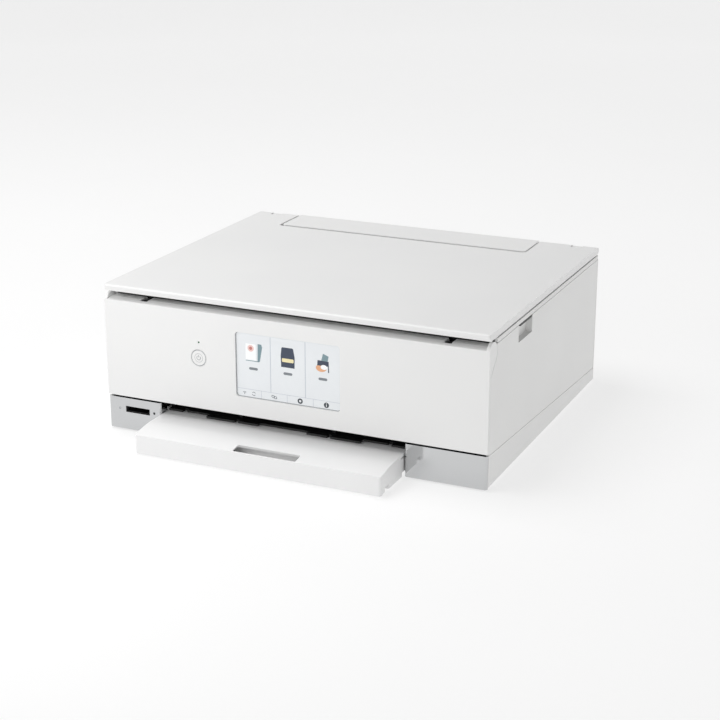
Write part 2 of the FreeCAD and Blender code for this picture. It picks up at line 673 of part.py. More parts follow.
def panel_board():
    board = box(-HOUSING_X + 6, HOUSING_X - 20, SLAB_REAR + 7.0, SLAB_REAR + 8.6, PANEL_BOTTOM + 12,
                HOUSING_TOP - 8)
    switch = box(BUTTON_X - 3, BUTTON_X + 3, SLAB_REAR + 4.6, SLAB_REAR + 7.0, BUTTON_Z - 3, BUTTON_Z + 3)
    chip = box(70, 84, SLAB_REAR + 8.6, SLAB_REAR + 10, BUTTON_Z - 7, BUTTON_Z + 7)
    lamp = rod("y", FRONT + 0.1, SLAB_REAR + 7.5, POWER_LAMP, 0.8)
    return [join([board, switch, chip, lamp])]


def power_button():
    cap = rod("y", FRONT, SLAB_REAR, (BUTTON_X, BUTTON_Z), BUTTON_R)
    stem = rod("y", SLAB_REAR - 1, SLAB_REAR + 4.6 - BUTTON_TRAVEL - 0.1, (BUTTON_X, BUTTON_Z), 2.0)
    ring = rod("y", FRONT - 1, FRONT + 0.3, (BUTTON_X, BUTTON_Z), 4.2)
    groove = ring.cut(rod("y", FRONT - 1, FRONT + 0.3, (BUTTON_X, BUTTON_Z), 3.8))
    return [join([cap, stem]).cut(groove)]


def exit_ribs():
    """The stepped black lip above the cassette, as strips that reach forward by different amounts."""
    low = CASSETTE_TOP + RUN_GAP + 0.3
    strips = []
    for start, end, reach in EXIT_STEPS:
        for x0, x1 in ((PAPER_X + start, PAPER_X + end), (PAPER_X - end, PAPER_X - start)):
            strips.append(box(x0, x1, FRONT + reach, INNER_FRAME_Y + WALL, low, low + EXIT_LIP))
    y0 = INNER_FRAME_Y - EXIT_POST
    bend = DECK_Z + WALL
    top = BLOCK_TOP + LOOSE_GAP + EXIT_POST_ROOT
    ends = [BAY_LEFT + 2.0, BAY_RIGHT - 2.0 - EXIT_POST]
    for x in ends + [PAPER_X - EXIT_POST_X - EXIT_POST, PAPER_X + EXIT_POST_X]:
        strips.append(box(x, x + EXIT_POST, y0, INNER_FRAME_Y - LOOSE_GAP, low, bend + EXIT_POST_ROOT))
        strips.append(box(x, x + EXIT_POST, y0, INNER_FRAME_Y + EXIT_POST_ROOT, bend + LOOSE_GAP, top))
    return strips


def front_inner_frame():
    y0, y1 = INNER_FRAME_Y, INNER_FRAME_Y + WALL + 0.5
    low = BLOCK_TOP + LOOSE_GAP
    plate = box(-HALF + WALL + SEAM, HALF - WALL - SEAM, y0, y1, low, COVER_TOP - 2)
    window = rounded("xz", BAY_LEFT, HALF - 20, low + 3, TUB_BOTTOM - 4, y0 - 1, y1 + 1, 4.0)
    arms = []
    for side in (-1, 1):
        x = side * ARM_X
        arms.append(box(x - 3, x + 3, LOBE_Y, y0 + 1, LOBE_Z - 3, LOBE_Z + 3))
        arms.append(rod("x", x - 3, x + 3, (LOBE_Y, LOBE_Z), 5.5))
    shape = join([plate.cut(window)] + arms + exit_ribs())
    return [shape.cut(rod("x", -HALF, HALF, (LOBE_Y, LOBE_Z), PANEL_PIN_R))]


# ---------------------------------------------------------------- scanner and lid

TUB_X = LEG_X - SOCKET_HALF + LEG_LINK_LAP
TUB_Y0 = GLASS_Y0 - GLASS_LEDGE
TUB_Y1 = GLASS_Y1 + GLASS_LEDGE


def scanner_base():
    outer = box(-TUB_X, TUB_X, TUB_Y0, TUB_Y1, TUB_BOTTOM, RIM_BOTTOM)
    inner = box(-TUB_X + TUB_WALL, TUB_X - TUB_WALL, TUB_Y0 + TUB_WALL, TUB_Y1 - TUB_WALL,
                TUB_BOTTOM + WALL, RIM_BOTTOM + 1)
    pieces = [outer.cut(inner)]
    for side in (-1, 1):
        middle = side * LEG_X
        socket = box(middle - SOCKET_HALF, middle + SOCKET_HALF, LID_AXIS_Y - 11, CASE_REAR,
                     TUB_BOTTOM + 2, RIM_BOTTOM)
        half = LEG_WIDTH / 2 + RUN_GAP
        channel = box(middle - half, middle + half, LID_AXIS_Y - 2.6 - RUN_GAP, CASE_REAR + 1,
                      TUB_BOTTOM, RIM_TOP + 1)
        link = box(middle - SOCKET_HALF, middle + SOCKET_HALF, TUB_Y1 - 4, LID_AXIS_Y - 10,
                   RIM_BOTTOM - 6, RIM_BOTTOM)
        pieces += [link, socket.cut(channel)]
    rack = box(SCAN_X0, TUB_X - TUB_WALL, SCAN_RAIL_Y + 14, SCAN_RAIL_Y + 18, TUB_BOTTOM + WALL - 0.5,
               TUB_BOTTOM + 6)
    teeth = []
    pitch = 4.0
    for i in range(int((TUB_X - TUB_WALL - SCAN_X0 - 4) / pitch)):
        x = SCAN_X0 + 3 + pitch * i
        teeth.append(box(x, x + pitch / 2, SCAN_RAIL_Y + 17, SCAN_RAIL_Y + 19, TUB_BOTTOM + WALL,
                         TUB_BOTTOM + 6))
    shape = join(pieces).cut(box(-TUB_X + TUB_WALL, TUB_X - TUB_WALL, TUB_Y0 + TUB_WALL, TUB_Y1 - TUB_WALL,
                                 TUB_BOTTOM + WALL, RIM_BOTTOM + 1))
    return [join([shape, rack.cut(Part.makeCompound(teeth))])]


def scanner_arm(side):
    x = cheek_places()[0] + CHEEK + 0.4
    low, high = sorted((side * x, side * (x + 3.0)))
    barrel = rod("x", low, high, (SCANNER_AXIS_Y, SCANNER_AXIS_Z), 3.8)
    web = box(low, high, CASE_REAR + LOOSE_GAP, SCANNER_AXIS_Y + 3.6, SCANNER_AXIS_Z, RIM_TOP)
    return barrel.fuse(web).fuse(box(low, high, CASE_REAR - 2, CASE_REAR + 3, RIM_BOTTOM, RIM_TOP))


def scanner_top_frame():
    plate = rounded("xy", -HALF, HALF, RIM_FRONT, CASE_REAR, RIM_BOTTOM, RIM_TOP, [1, 1, 2, 2])
    gap = 0.1
    cuts = [
        box(-GLASS_SIZE_X / 2 - gap, GLASS_SIZE_X / 2 + gap, GLASS_Y0 - gap, GLASS_Y1 + gap,
            RIM_BOTTOM - 1, RIM_TOP + 1),
        rounded("xy", NOTCH_X0, NOTCH_X1, NOTCH_Y, CASE_REAR + 6, RIM_BOTTOM - 1, RIM_TOP + 1, [5, 5, 0, 0]),
    ]
    for side in (-1, 1):
        half = LEG_WIDTH / 2 + RUN_GAP
        cuts.append(box(side * LEG_X - half, side * LEG_X + half, LID_AXIS_Y - 2.6 - RUN_GAP, CASE_REAR + 1,
                        RIM_BOTTOM - 1, RIM_TOP + 1))
    shape = join([cut(plate, cuts), scanner_arm(1), scanner_arm(-1)])
    return [shape.cut(rod("x", -HALF, HALF, (SCANNER_AXIS_Y, SCANNER_AXIS_Z), SCANNER_PIN_R + RUN_GAP))]


def platen_glass():
    return [box(-GLASS_SIZE_X / 2, GLASS_SIZE_X / 2, GLASS_Y0, GLASS_Y1, RIM_BOTTOM,
                RIM_BOTTOM + GLASS_THICKNESS)]


SCAN_BAR_WIDTH = 16.0
SCAN_RAIL_R = 3.0
SCAN_RAIL_Y = (GLASS_Y0 + GLASS_Y1) / 2
SCAN_RAIL_Z = TUB_BOTTOM + 8.5
SCAN_X0 = -TUB_X + TUB_WALL + 1.5


def scan_carriage():
    y0 = TUB_Y0 + TUB_WALL + 1.5
    y1 = TUB_Y1 - TUB_WALL - 1.5
    bar = box(SCAN_X0, SCAN_X0 + SCAN_BAR_WIDTH, y0, y1, TUB_BOTTOM + 15, RIM_BOTTOM - LOOSE_GAP)
    saddle = box(SCAN_X0, SCAN_X0 + SCAN_BAR_WIDTH, SCAN_RAIL_Y - 8, SCAN_RAIL_Y + 8, SCAN_RAIL_Z - 5,
                 TUB_BOTTOM + 16)
    drive = box(SCAN_X0 + 1, SCAN_X0 + 13, SCAN_RAIL_Y + 21, SCAN_RAIL_Y + 40, TUB_BOTTOM + 4,
                TUB_BOTTOM + 16)
    wheel = rod("z", TUB_BOTTOM + 6.5, TUB_BOTTOM + 15.5, (SCAN_X0 + 8, SCAN_RAIL_Y + 22), 3.5)
    bore = rod("x", SCAN_X0 - 1, SCAN_X0 + SCAN_BAR_WIDTH + 1, (SCAN_RAIL_Y, SCAN_RAIL_Z),
               SCAN_RAIL_R + RUN_GAP)
    return [join([bar, saddle, drive, wheel]).cut(bore)]


def scan_rail():
    return [rod("x", -TUB_X + TUB_WALL, TUB_X - TUB_WALL, (SCAN_RAIL_Y, SCAN_RAIL_Z), SCAN_RAIL_R)]


def lid_hinge_legs():
    legs = []
    for side in (-1, 1):
        x0 = side * LEG_X - LEG_WIDTH / 2
        post = box(x0, x0 + LEG_WIDTH, LID_AXIS_Y - 2.6, LID_AXIS_Y + 2.6, LID_AXIS_Z - LEG_LENGTH,
                   LID_AXIS_Z)
        eye = rod("x", x0, x0 + LEG_WIDTH, (LID_AXIS_Y, LID_AXIS_Z), 2.6)
        trunnion = rod("x", x0 - 3.5, x0 + LEG_WIDTH + 3.5, (LID_AXIS_Y, LID_AXIS_Z), LID_PIN_R)
        legs.append(join([post, eye, trunnion]))
    return legs


def document_cover():
    r = LID_THICKNESS / 2
    sides = prism(
        "yz",
        [
            (FRONT + LID_UNDERCUT, LID_BOTTOM),
            (LID_AXIS_Y, LID_BOTTOM),
            ((CASE_REAR, LID_AXIS_Z), (LID_AXIS_Y, HEIGHT)),
            (FRONT + 1.2, HEIGHT),
            (FRONT, HEIGHT - 1.2),
            (FRONT, HEIGHT - 1.8),
        ],
        -HALF,
        HALF,
    )
    corner = rounded("xy", -HALF, HALF, FRONT, CASE_REAR + r, LID_BOTTOM, HEIGHT, [2.5, 2.5, 3, 3])
    shape = sides.common(corner)
    cuts = [
        rounded("xy", NOTCH_X0, NOTCH_X1, NOTCH_Y, CASE_REAR + 9, LID_BOTTOM - 1, HEIGHT + 1, [5, 5, 0, 0]),
        box(-HALF + 8, HALF - 8, FRONT + 8, NOTCH_Y - 6, LID_BOTTOM - 1, HEIGHT - WALL),
    ]
    for side in (-1, 1):
        half = LEG_WIDTH / 2 + 4.0
        cuts.append(rod("x", side * LEG_X - half, side * LEG_X + half, (LID_AXIS_Y, LID_AXIS_Z),
                        LID_PIN_R + RUN_GAP))
        half = LEG_WIDTH / 2 + LOOSE_GAP
        cuts.append(box(side * LEG_X - half, side * LEG_X + half, LID_AXIS_Y - 6, CASE_REAR + 1,
                        LID_BOTTOM - 1, HEIGHT + 1))
    return [cut(shape, cuts)]


def pressure_pad():
    return [box(-GLASS_SIZE_X / 2 + 2, GLASS_SIZE_X / 2 - 2, GLASS_Y0 + 2, GLASS_Y1 - 2,
                RIM_BOTTOM + GLASS_THICKNESS + 0.3, HEIGHT - WALL)]


# ---------------------------------------------------------------- rear paper feed

REAR_COVER_X0 = NOTCH_X0 + REAR_COVER_SIDE_GAP
REAR_COVER_X1 = NOTCH_X1 - REAR_COVER_SIDE_GAP
REAR_COVER_Y0 = NOTCH_Y + REAR_COVER_FRONT_GAP
SUPPORT_THICKNESS = 1.8
SUPPORT_INSET = 30.0
SUPPORT_Z = HEIGHT - 4.4      # floor of the groove that the paper support slides in
HOUSING_Y0 = NOTCH_Y + 2.6
HOUSING_Y1 = CASE_REAR - WALL - 0.6
HOUSING_LOW = 62.0


def rear_tray_cover():
    plate = rounded("xy", REAR_COVER_X0, REAR_COVER_X1, REAR_COVER_Y0, CASE_REAR, LID_BOTTOM + SEAM, HEIGHT,
                    [4, 4, 1, 1])
    groove = box(REAR_COVER_X0 + SUPPORT_INSET - RUN_GAP, REAR_COVER_X1 - SUPPORT_INSET + RUN_GAP,
                 REAR_COVER_Y0 - 1,
                 CASE_REAR - 3, SUPPORT_Z, SUPPORT_Z + SUPPORT_THICKNESS + 2 * RUN_GAP)
    arms = []
    for x in rear_cheeks():
        arm_x = x + CHEEK + 0.4 if x < PAPER_X else x - 3.4
        barrel = rod("x", arm_x, arm_x + 3.0, (REAR_AXIS_Y, REAR_AXIS_Z), 2.6)
        web = box(arm_x, arm_x + 3.0, CASE_REAR - 6, REAR_AXIS_Y + 2.6, REAR_AXIS_Z, HEIGHT - 4.0)
        web = web.cut(rod("x", arm_x - 1, arm_x + 4, (REAR_AXIS_Y + 3.4, HEIGHT - 3.0), 2.2))
        arms.append(barrel.fuse(web))
    shape = join([plate.cut(groove)] + arms)
    return [shape.cut(rod("x", NOTCH_X0, NOTCH_X1, (REAR_AXIS_Y, REAR_AXIS_Z), LID_PIN_R + RUN_GAP))]


def paper_support():
    z0 = SUPPORT_Z + RUN_GAP
    plate = rounded("xy", REAR_COVER_X0 + SUPPORT_INSET, REAR_COVER_X1 - SUPPORT_INSET, REAR_COVER_Y0 + 0.4,
                    CASE_REAR - 4, z0, z0 + SUPPORT_THICKNESS, [8, 8, 0, 0])
    return [plate]


def rear_tray_housing():
    x0, x1 = NOTCH_X0 + 2.5, NOTCH_X1 - 2.5
    top = RIM_TOP
    outer = box(x0, x1, HOUSING_Y0, HOUSING_Y1, HOUSING_LOW, top)
    slope = prism(
        "yz",
        [
            (HOUSING_Y0 + 2, HOUSING_LOW - 1),
            (HOUSING_Y0 + 12, HOUSING_LOW - 1),
            (HOUSING_Y1 - 6, top + 1),
            (HOUSING_Y0 + 2, top + 1),
        ],
        x0 + 2,
        x1 - 2,
    )
    behind = prism(
        "yz",
        [
            (HOUSING_Y0 + 15, HOUSING_LOW - 1),
            (HOUSING_Y1 + 1, HOUSING_LOW - 1),
            (HOUSING_Y1 + 1, top - 12),
            (HOUSING_Y1 - 6, top - 12),
        ],
        x0 - 1,
        x1 + 1,
    )
    return [cut(outer, [slope, behind])]


def rear_guide(side):
    """An edge guide that stands square to the slanted floor of the rear feed."""
    top = RIM_TOP - 1.0
    lean = (HOUSING_Y1 - 6 - HOUSING_Y0 - 12) / (RIM_TOP - HOUSING_LOW + 2)
    low = top - 34.0
    y_top = HOUSING_Y0 + 12 + lean * (top - HOUSING_LOW + 1) - 1.2
    y_low = y_top - lean * (top - low)
    x = PAPER_X + side * (PAPER_WIDTH / 2 + 1.5)
    fin = prism("yz", [(y_low, low), (y_top, top), (y_top - 12, top), (y_low - 9, low)], x - 1.0, x + 1.0)
    x_in = x - side * 12
    low_x, high_x = sorted((x, x_in))
    foot = prism("yz", [(y_low, low), (y_top, top), (y_top - 1.2, top), (y_low - 1.2, low)], low_x, high_x)
    return [join([fin, foot])]


# ---------------------------------------------------------------- chassis and printing mechanism

DECK_Z = BAY_TOP + 0.5
CARRIAGE_X1 = FRAME_X - 12.0
CARRIAGE_X0 = CARRIAGE_X1 - CARRIAGE_WIDTH
CARRIAGE_Y0 = EJECT_Y - 2.0
CARRIAGE_Y1 = RAIL_Y - 4.0
HEAD_BOTTOM = PLATEN_TOP + 1.5
CARRIAGE_FLOOR = HEAD_BOTTOM + 6.0
PLATEN_Y0 = EJECT_Y + EJECT_R + 1.2
PLATEN_Y1 = FEED_Y - ROLLER_R - 1.2
PURGE_X0 = FRAME_X - 68.0
REAR_PATH_Y = FRONT + 200.0


def main_frame():
    y0, y1 = BLOCK_REAR + LOOSE_GAP, RAIL_Y + 20.0
    deck = box(-FRAME_X, FRAME_X, EJECT_Y - 8, y1, DECK_Z, DECK_Z + WALL)
    window = box(BAY_LEFT + 6, BAY_RIGHT - 6, y1 - 30, y1 - 3, DECK_Z - 1, DECK_Z + WALL + 1)
    ends = []
    for x in (-FRAME_X, FRAME_X - WALL):
        ends.append(box(x, x + WALL, y0, y1, DECK_Z, TUB_BOTTOM - 3))
    back = box(-FRAME_X, FRAME_X, y1 - WALL, y1, DECK_Z, 62.0)
    legs = []
    for x in (-FRAME_X, FRAME_X - 12):
        for y in (y0, y1 - 14):
            legs.append(box(x, x + 12, y, y + 14, FLOOR_TOP, DECK_Z + 1))
    sills = []
    for x in (BAY_LEFT - 8, BAY_RIGHT + 3):
        sills.append(box(x, x + 5, y1 - 5, ARM_PIVOT_Y - 10, DECK_Z, DECK_Z + 6))
    shape = join([deck.cut(window), back] + ends + legs + sills + [exit_ramp(), star_wheel_holder(),
                                                                   shaft_bracket()])
    bores = [
        rod("x", -HALF, HALF, (FEED_Y, FEED_Z), 3.0 + RUN_GAP),
        rod("x", -HALF, HALF, (EJECT_Y, EJECT_Z), 2.0 + RUN_GAP),
    ]
    return [cut(shape, bores)]


def carriage_rail():
    back = box(-FRAME_X + WALL, FRAME_X - WALL, RAIL_Y, RAIL_Y + 1.6, 56.0, TUB_BOTTOM - 4)
    shelf = box(-FRAME_X + WALL, FRAME_X - WALL, RAIL_Y, RAIL_Y + 12, 56.0, 57.6)
    lip = box(-FRAME_X + WALL, FRAME_X - WALL, RAIL_Y, RAIL_Y + 8, TUB_BOTTOM - 5.6, TUB_BOTTOM - 4)
    return [join([back, shelf, lip])]


def platen():
    base = box(BAY_LEFT + 2, PURGE_X0 - 3, PLATEN_Y0, PLATEN_Y1, DECK_Z + WALL, PLATEN_TOP - 3)
    ribs = []
    count = 17
    for i in range(count):
        x = PAPER_X - PAPER_WIDTH / 2 + PAPER_WIDTH * i / (count - 1)
        ribs.append(box(x - 0.6, x + 0.6, PLATEN_Y0, PLATEN_Y1, PLATEN_TOP - 3.5, PLATEN_TOP))
    return [join([base] + ribs)]


def exit_ramp():
    """The ribbed ramp of the chassis under the paper's way out."""
    y0 = INNER_FRAME_Y + EXIT_POST_ROOT + LOOSE_GAP
    base = box(BAY_LEFT + 2, BAY_RIGHT - 2, y0, EJECT_Y - EJECT_R - 1.0, DECK_Z + 1.0, DECK_Z + 4.5)
    ribs = []
    for i in range(11):
        x = PAPER_X - 105 + 21 * i
        rib = prism(
            "yz",
            [
                (y0, DECK_Z + 4),
                (EJECT_Y - EJECT_R - 1.0, DECK_Z + 4),
                (EJECT_Y - EJECT_R - 1.0, EJECT_Z),
                (INNER_FRAME_Y + WALL + 1.5, DECK_Z + 7),
                (y0, DECK_Z + 5),
            ],
            x - 0.8,
            x + 0.8,
        )
        ribs.append(rib)
    return join([base] + ribs)


def feed_roller():
    shaft = rod("x", -FRAME_X - 4, FRAME_X + 4, (FEED_Y, FEED_Z), 3.0)
    body = rod("x", BAY_LEFT + 4, PURGE_X0 - 4, (FEED_Y, FEED_Z), ROLLER_R)
    return [join([shaft, body])]


def toothed(x0, x1, y, z, teeth, pitch_r, bore):
    """A spur gear along X, its teeth plain wedges so that the mesh stays light."""
    addendum = 0.8
    steps = []
    for i in range(teeth):
        a = 2 * math.pi * i / teeth
        quarter = math.pi / teeth / 2
        for turn, r in ((-1.2, pitch_r - 1.0), (-0.5, pitch_r + addendum), (0.5, pitch_r + addendum),
                        (1.2, pitch_r - 1.0)):
            angle = a + turn * quarter
            steps.append((y + r * math.cos(angle), z + r * math.sin(angle)))
    return prism("yz", steps, x0, x1).cut(rod("x", x0 - 1, x1 + 1, (y, z), bore))


FEED_GEAR_TEETH = 36
PINION_TEETH = 12
GEAR_MODULE = 0.8
FEED_GEAR_R = FEED_GEAR_TEETH * GEAR_MODULE / 2
PINION_R = PINION_TEETH * GEAR_MODULE / 2
PINION_Z = FEED_Z + FEED_GEAR_R + PINION_R + 0.5


def feed_gear():
    return [toothed(-FRAME_X - 3.6, -FRAME_X - 0.6, FEED_Y, FEED_Z, FEED_GEAR_TEETH, FEED_GEAR_R, 3.0)]


def motor_pinion():
    shape = toothed(-FRAME_X - 3.6, -FRAME_X - 0.6, FEED_Y, PINION_Z, PINION_TEETH, PINION_R, 1.0)
    half_tooth = 180.0 / PINION_TEETH
    shape.rotate(FreeCAD.Vector(0, FEED_Y, PINION_Z), FreeCAD.Vector(1, 0, 0),
                 half_tooth if PINION_TEETH % 4 == 0 else 0)
    return [shape]


def eject_roller():
    shaft = rod("x", -FRAME_X - 2, FRAME_X + 1, (EJECT_Y, EJECT_Z), 2.0)
    rings = []
    for x in roller_places():
        rings.append(rod("x", x - 4, x + 4, (EJECT_Y, EJECT_Z), EJECT_R))
    return [join([shaft] + rings)]


def star_wheels():
    wheels = []
    z = EJECT_Z + EJECT_R + STAR_R + RUN_GAP
    for x in roller_places():
        wheel = rod("x", x - 0.4, x + 0.4, (EJECT_Y - 7.0, z - 3.0), STAR_R)
        wheels.append(wheel.fuse(rod("x", x - 2.4, x + 2.4, (EJECT_Y - 7.0, z - 3.0), 0.8)))
    return wheels


def star_wheel_holder():
    """The bar of the chassis that holds the star wheels over the eject roller."""
    z = EJECT_Z + EJECT_R + STAR_R + RUN_GAP - 3.0
    y = EJECT_Y - 7.0
    bar = box(-FRAME_X, FRAME_X, y - 8.5, y - 5.0, z + 3.0, z + 6.5)
    arms = []
    for x in roller_places():
        for dx in (-2.4, 1.4):
            arms.append(box(x + dx, x + dx + 1.0, y - 6, y + 1.5, z - 1.5, z + 4.0))
    return join([bar] + arms).cut(rod("x", -HALF, HALF, (y, z), 0.8 + RUN_GAP))


def print_carriage():
    body = box(CARRIAGE_X0, CARRIAGE_X1, CARRIAGE_Y0, CARRIAGE_Y1, CARRIAGE_FLOOR, CARRIAGE_TOP)
    hollow = box(CARRIAGE_X0 + 2, CARRIAGE_X1 - 2, CARRIAGE_Y0 + 2, CARRIAGE_Y1 - 4, CARRIAGE_FLOOR + 2,
                 CARRIAGE_TOP + 1)
    opening = box(CARRIAGE_X0 + 2, CARRIAGE_X1 - 2, CARRIAGE_Y0 - 1, CARRIAGE_Y0 + 3,
                  CARRIAGE_FLOOR + 14, CARRIAGE_TOP + 1)
    hook = box(CARRIAGE_X0 + 6, CARRIAGE_X1 - 6, CARRIAGE_Y1 - 1, RAIL_Y - 0.5, TUB_BOTTOM - 16,
               TUB_BOTTOM - 9)
    return [cut(join([body, hook]), [hollow, opening])]


def print_head():
    return [box(CARRIAGE_X0 + 8, CARRIAGE_X1 - 8, CARRIAGE_Y0 + 8, CARRIAGE_Y1 - 10, HEAD_BOTTOM,
                CARRIAGE_FLOOR)]


def ink_tanks():
    span = CARRIAGE_X1 - CARRIAGE_X0 - 5.0
    pitch = span / TANK_COUNT
    tanks = []
    for i in range(TANK_COUNT):
        x = CARRIAGE_X0 + 2.5 + pitch * i
        tanks.append(box(x + 0.3, x + pitch - 0.3, CARRIAGE_Y0 + 2.4, CARRIAGE_Y1 - 4.4,
                         CARRIAGE_FLOOR + 2, CARRIAGE_TOP - 3))
    return tanks


BELT_X = FRAME_X - 18.0
BELT_Z = 70.0
BELT_Y = RAIL_Y + 7.0


def belt_loop(x0, x1, y, z, radius, thickness, height, upright):
    """A closed toothless belt round two pulleys; upright pulleys turn about Z, others about Y."""
    plane = "xy" if upright else "xz"
    level, depth = (y, z) if upright else (z, y)
    outer = rounded(plane, x0 - radius, x1 + radius, level - radius, level + radius,
                    depth - height / 2, depth + height / 2, radius)
    r = radius - thickness
    inner = rounded(plane, x0 - r, x1 + r, level - r, level + r, depth - height, depth + height, r)
    return outer.cut(inner)


def carriage_belt():
    return [belt_loop(-BELT_X, BELT_X, BELT_Y, BELT_Z, BELT_PULLEY_R + 1.0, 0.8, 5.0, False)]


def drive_pulley():
    return [rod("y", BELT_Y - 3, BELT_Y + 3, (-BELT_X, BELT_Z), BELT_PULLEY_R - 0.2)]


def idler_pulley():
    return [rod("y", BELT_Y - 3, BELT_Y + 3, (BELT_X, BELT_Z), BELT_PULLEY_R - 0.2)]


def drive_motors():
    """The paper feed motor and the carriage motor."""
    feed = rod("x", -FRAME_X + WALL + 0.1, -FRAME_X + WALL + 24, (FEED_Y, PINION_Z), 12.0)
    carriage = rod("y", BELT_Y + 3.5, RAIL_Y + 17, (-BELT_X, BELT_Z), 12.0)
    return [feed, carriage]


def purge_unit():
    x0, x1 = PURGE_X0, FRAME_X - WALL - 2
    y0, y1 = PLATEN_Y0, PLATEN_Y1 + 0.4
    tray = box(x0, x1, y0, y1, DECK_Z + WALL, PLATEN_TOP - 4)
    hollow = box(x0 + 2, x1 - 2, y0 + 2, y1 - 2, DECK_Z + WALL + 4, PLATEN_TOP)
    return [tray.cut(hollow), purge_cap()]


def purge_cap():
    x0 = PURGE_X0 + 8
    body = rounded("xy", x0, x0 + 44, PLATEN_Y0 + 3.5, PLATEN_Y1 - 3, DECK_Z + WALL + 4, PLATEN_TOP - 1, 3.0)
    return body.cut(rounded("xy", x0 + 2, x0 + 42, PLATEN_Y0 + 5.5, PLATEN_Y1 - 5, PLATEN_TOP - 5,
                            PLATEN_TOP, 2.0))


# ---- pickup from the cassette, and the parts behind the mechanism

ARM_PIVOT_Y = REAR_PATH_Y
ARM_PIVOT_Z = 40.0
PICKUP_R = 9.0
PICKUP_Y = ARM_PIVOT_Y + 30.0
PICKUP_Z = 34.0
SHAFT_HALF = 60.0


def pickup_arm():
    plates = []
    for dx in (-14.0, 12.0):
        plate = prism(
            "yz",
            [
                (ARM_PIVOT_Y - 5, ARM_PIVOT_Z - 4),
                (PICKUP_Y + 4, PICKUP_Z - 4),
                (PICKUP_Y + 4, PICKUP_Z + 5),
                (ARM_PIVOT_Y - 5, ARM_PIVOT_Z + 5),
            ],
            PAPER_X + dx,
            PAPER_X + dx + 2.0,
        )
        plates.append(plate)
    bridge = box(PAPER_X - 14, PAPER_X + 14, ARM_PIVOT_Y + 8, ARM_PIVOT_Y + 12, ARM_PIVOT_Z - 3,
                 ARM_PIVOT_Z + 1)
    shape = join(plates + [bridge])
    holes = [
        rod("x", PAPER_X - 20, PAPER_X + 20, (ARM_PIVOT_Y, ARM_PIVOT_Z), 2.0 + RUN_GAP),
        rod("x", PAPER_X - 20, PAPER_X + 20, (PICKUP_Y, PICKUP_Z), 2.0 + RUN_GAP),
    ]
    return [cut(shape, holes)]


def pickup_roller():
    tyres = []
    for dx in (-10.5, 2.5):
        tyres.append(rod("x", PAPER_X + dx, PAPER_X + dx + 8.0, (PICKUP_Y, PICKUP_Z), PICKUP_R))
    axle = rod("x", PAPER_X - 15, PAPER_X + 15, (PICKUP_Y, PICKUP_Z), 2.0)
    return [join([axle] + tyres)]


def hinge_pins():
    """Every steel pin that the case holds: panel, scanner and rear cover hinges, and the pickup shaft."""
    pins = []
    first, second = cheek_places()
    for side in (-1, 1):
        pins.append(rod("x", side * ARM_X - 7.2, side * ARM_X + 7.2, (LOBE_Y, LOBE_Z), PANEL_PIN_R))
        low, high = sorted((side * first, side * (second + CHEEK)))
        pins.append(rod("x", low, high, (SCANNER_AXIS_Y, SCANNER_AXIS_Z), SCANNER_PIN_R))
    for x in rear_cheeks():
        low = x if x < PAPER_X else x - 3.6
        pins.append(rod("x", low, low + CHEEK + 3.6, (REAR_AXIS_Y, REAR_AXIS_Z), LID_PIN_R))
    pins.append(rod("x", -SHAFT_HALF, SHAFT_HALF, (ARM_PIVOT_Y, ARM_PIVOT_Z), 2.0))
    return pins


def shaft_bracket():
    """The part of the chassis that carries the pickup shaft, on two posts outside the cassette."""
    beam = box(BAY_LEFT - 8, BAY_RIGHT + 8, ARM_PIVOT_Y - 16, ARM_PIVOT_Y - 12, BAY_TOP + 1, ARM_PIVOT_Z + 8)
    posts = []
    for x in (BAY_LEFT - 8, BAY_RIGHT + 3):
        posts.append(box(x, x + 5, ARM_PIVOT_Y - 16, ARM_PIVOT_Y - 8, FLOOR_TOP, BAY_TOP + 2))
    lugs = []
    for x in (-SHAFT_HALF, SHAFT_HALF - 3):
        lugs.append(box(x, x + 3, ARM_PIVOT_Y - 13, ARM_PIVOT_Y + 4, ARM_PIVOT_Z - 4, ARM_PIVOT_Z + 4))
    shape = join([beam] + posts + lugs)
    return shape.cut(rod("x", -SHAFT_HALF, SHAFT_HALF, (ARM_PIVOT_Y, ARM_PIVOT_Z), 2.0))


def power_supply():
    return [rounded("xy", -HALF + WALL + 1.5, BAY_LEFT - 9, FRONT + 150, CASE_REAR - 26, FLOOR_TOP,
                    62.0, 3.0)]


def power_inlet():
    half_w, half_h = INLET_WIDTH / 2 - 0.2, INLET_HEIGHT / 2 - 0.2
    y0 = CASE_REAR - 25.5
    outer = rounded("xz", INLET_X - half_w, INLET_X + half_w, INLET_Z - half_h, INLET_Z + half_h, y0,
                    CASE_REAR - 0.5, 2.8)
    hollow = rounded("xz", INLET_X - half_w + 2, INLET_X + half_w - 2, INLET_Z - half_h + 2,
                     INLET_Z + half_h - 2,
                     CASE_REAR - 15, CASE_REAR, 3.6)
    shape = outer.cut(hollow)
    pins = [rod("y", CASE_REAR - 15.5, CASE_REAR - 4, (INLET_X + dx, INLET_Z), 1.2) for dx in (-4.3, 4.3)]
    return [join([shape] + pins)]


def usb_port():
    half = USB_SIZE / 2 - 0.3
    y0 = CASE_REAR - 18
    outer = box(USB_X - half, USB_X + half, y0, CASE_REAR - 0.4, USB_Z - half, USB_Z + half)
    hollow = box(USB_X - half + 1, USB_X + half - 1, y0 + 5, CASE_REAR, USB_Z - half + 1, USB_Z + half - 1)
    tongue = box(USB_X - 2.6, USB_X + 2.6, y0 + 4, CASE_REAR - 5, USB_Z + 0.6, USB_Z + 3.0)
    return [outer.cut(hollow).fuse(tongue).removeSplitter()]


def main_board():
    x = USB_X + USB_SIZE / 2
    return [box(x, x + 1.6, FRONT + 150, CASE_REAR - 6, 32.0, TUB_BOTTOM - 6)]


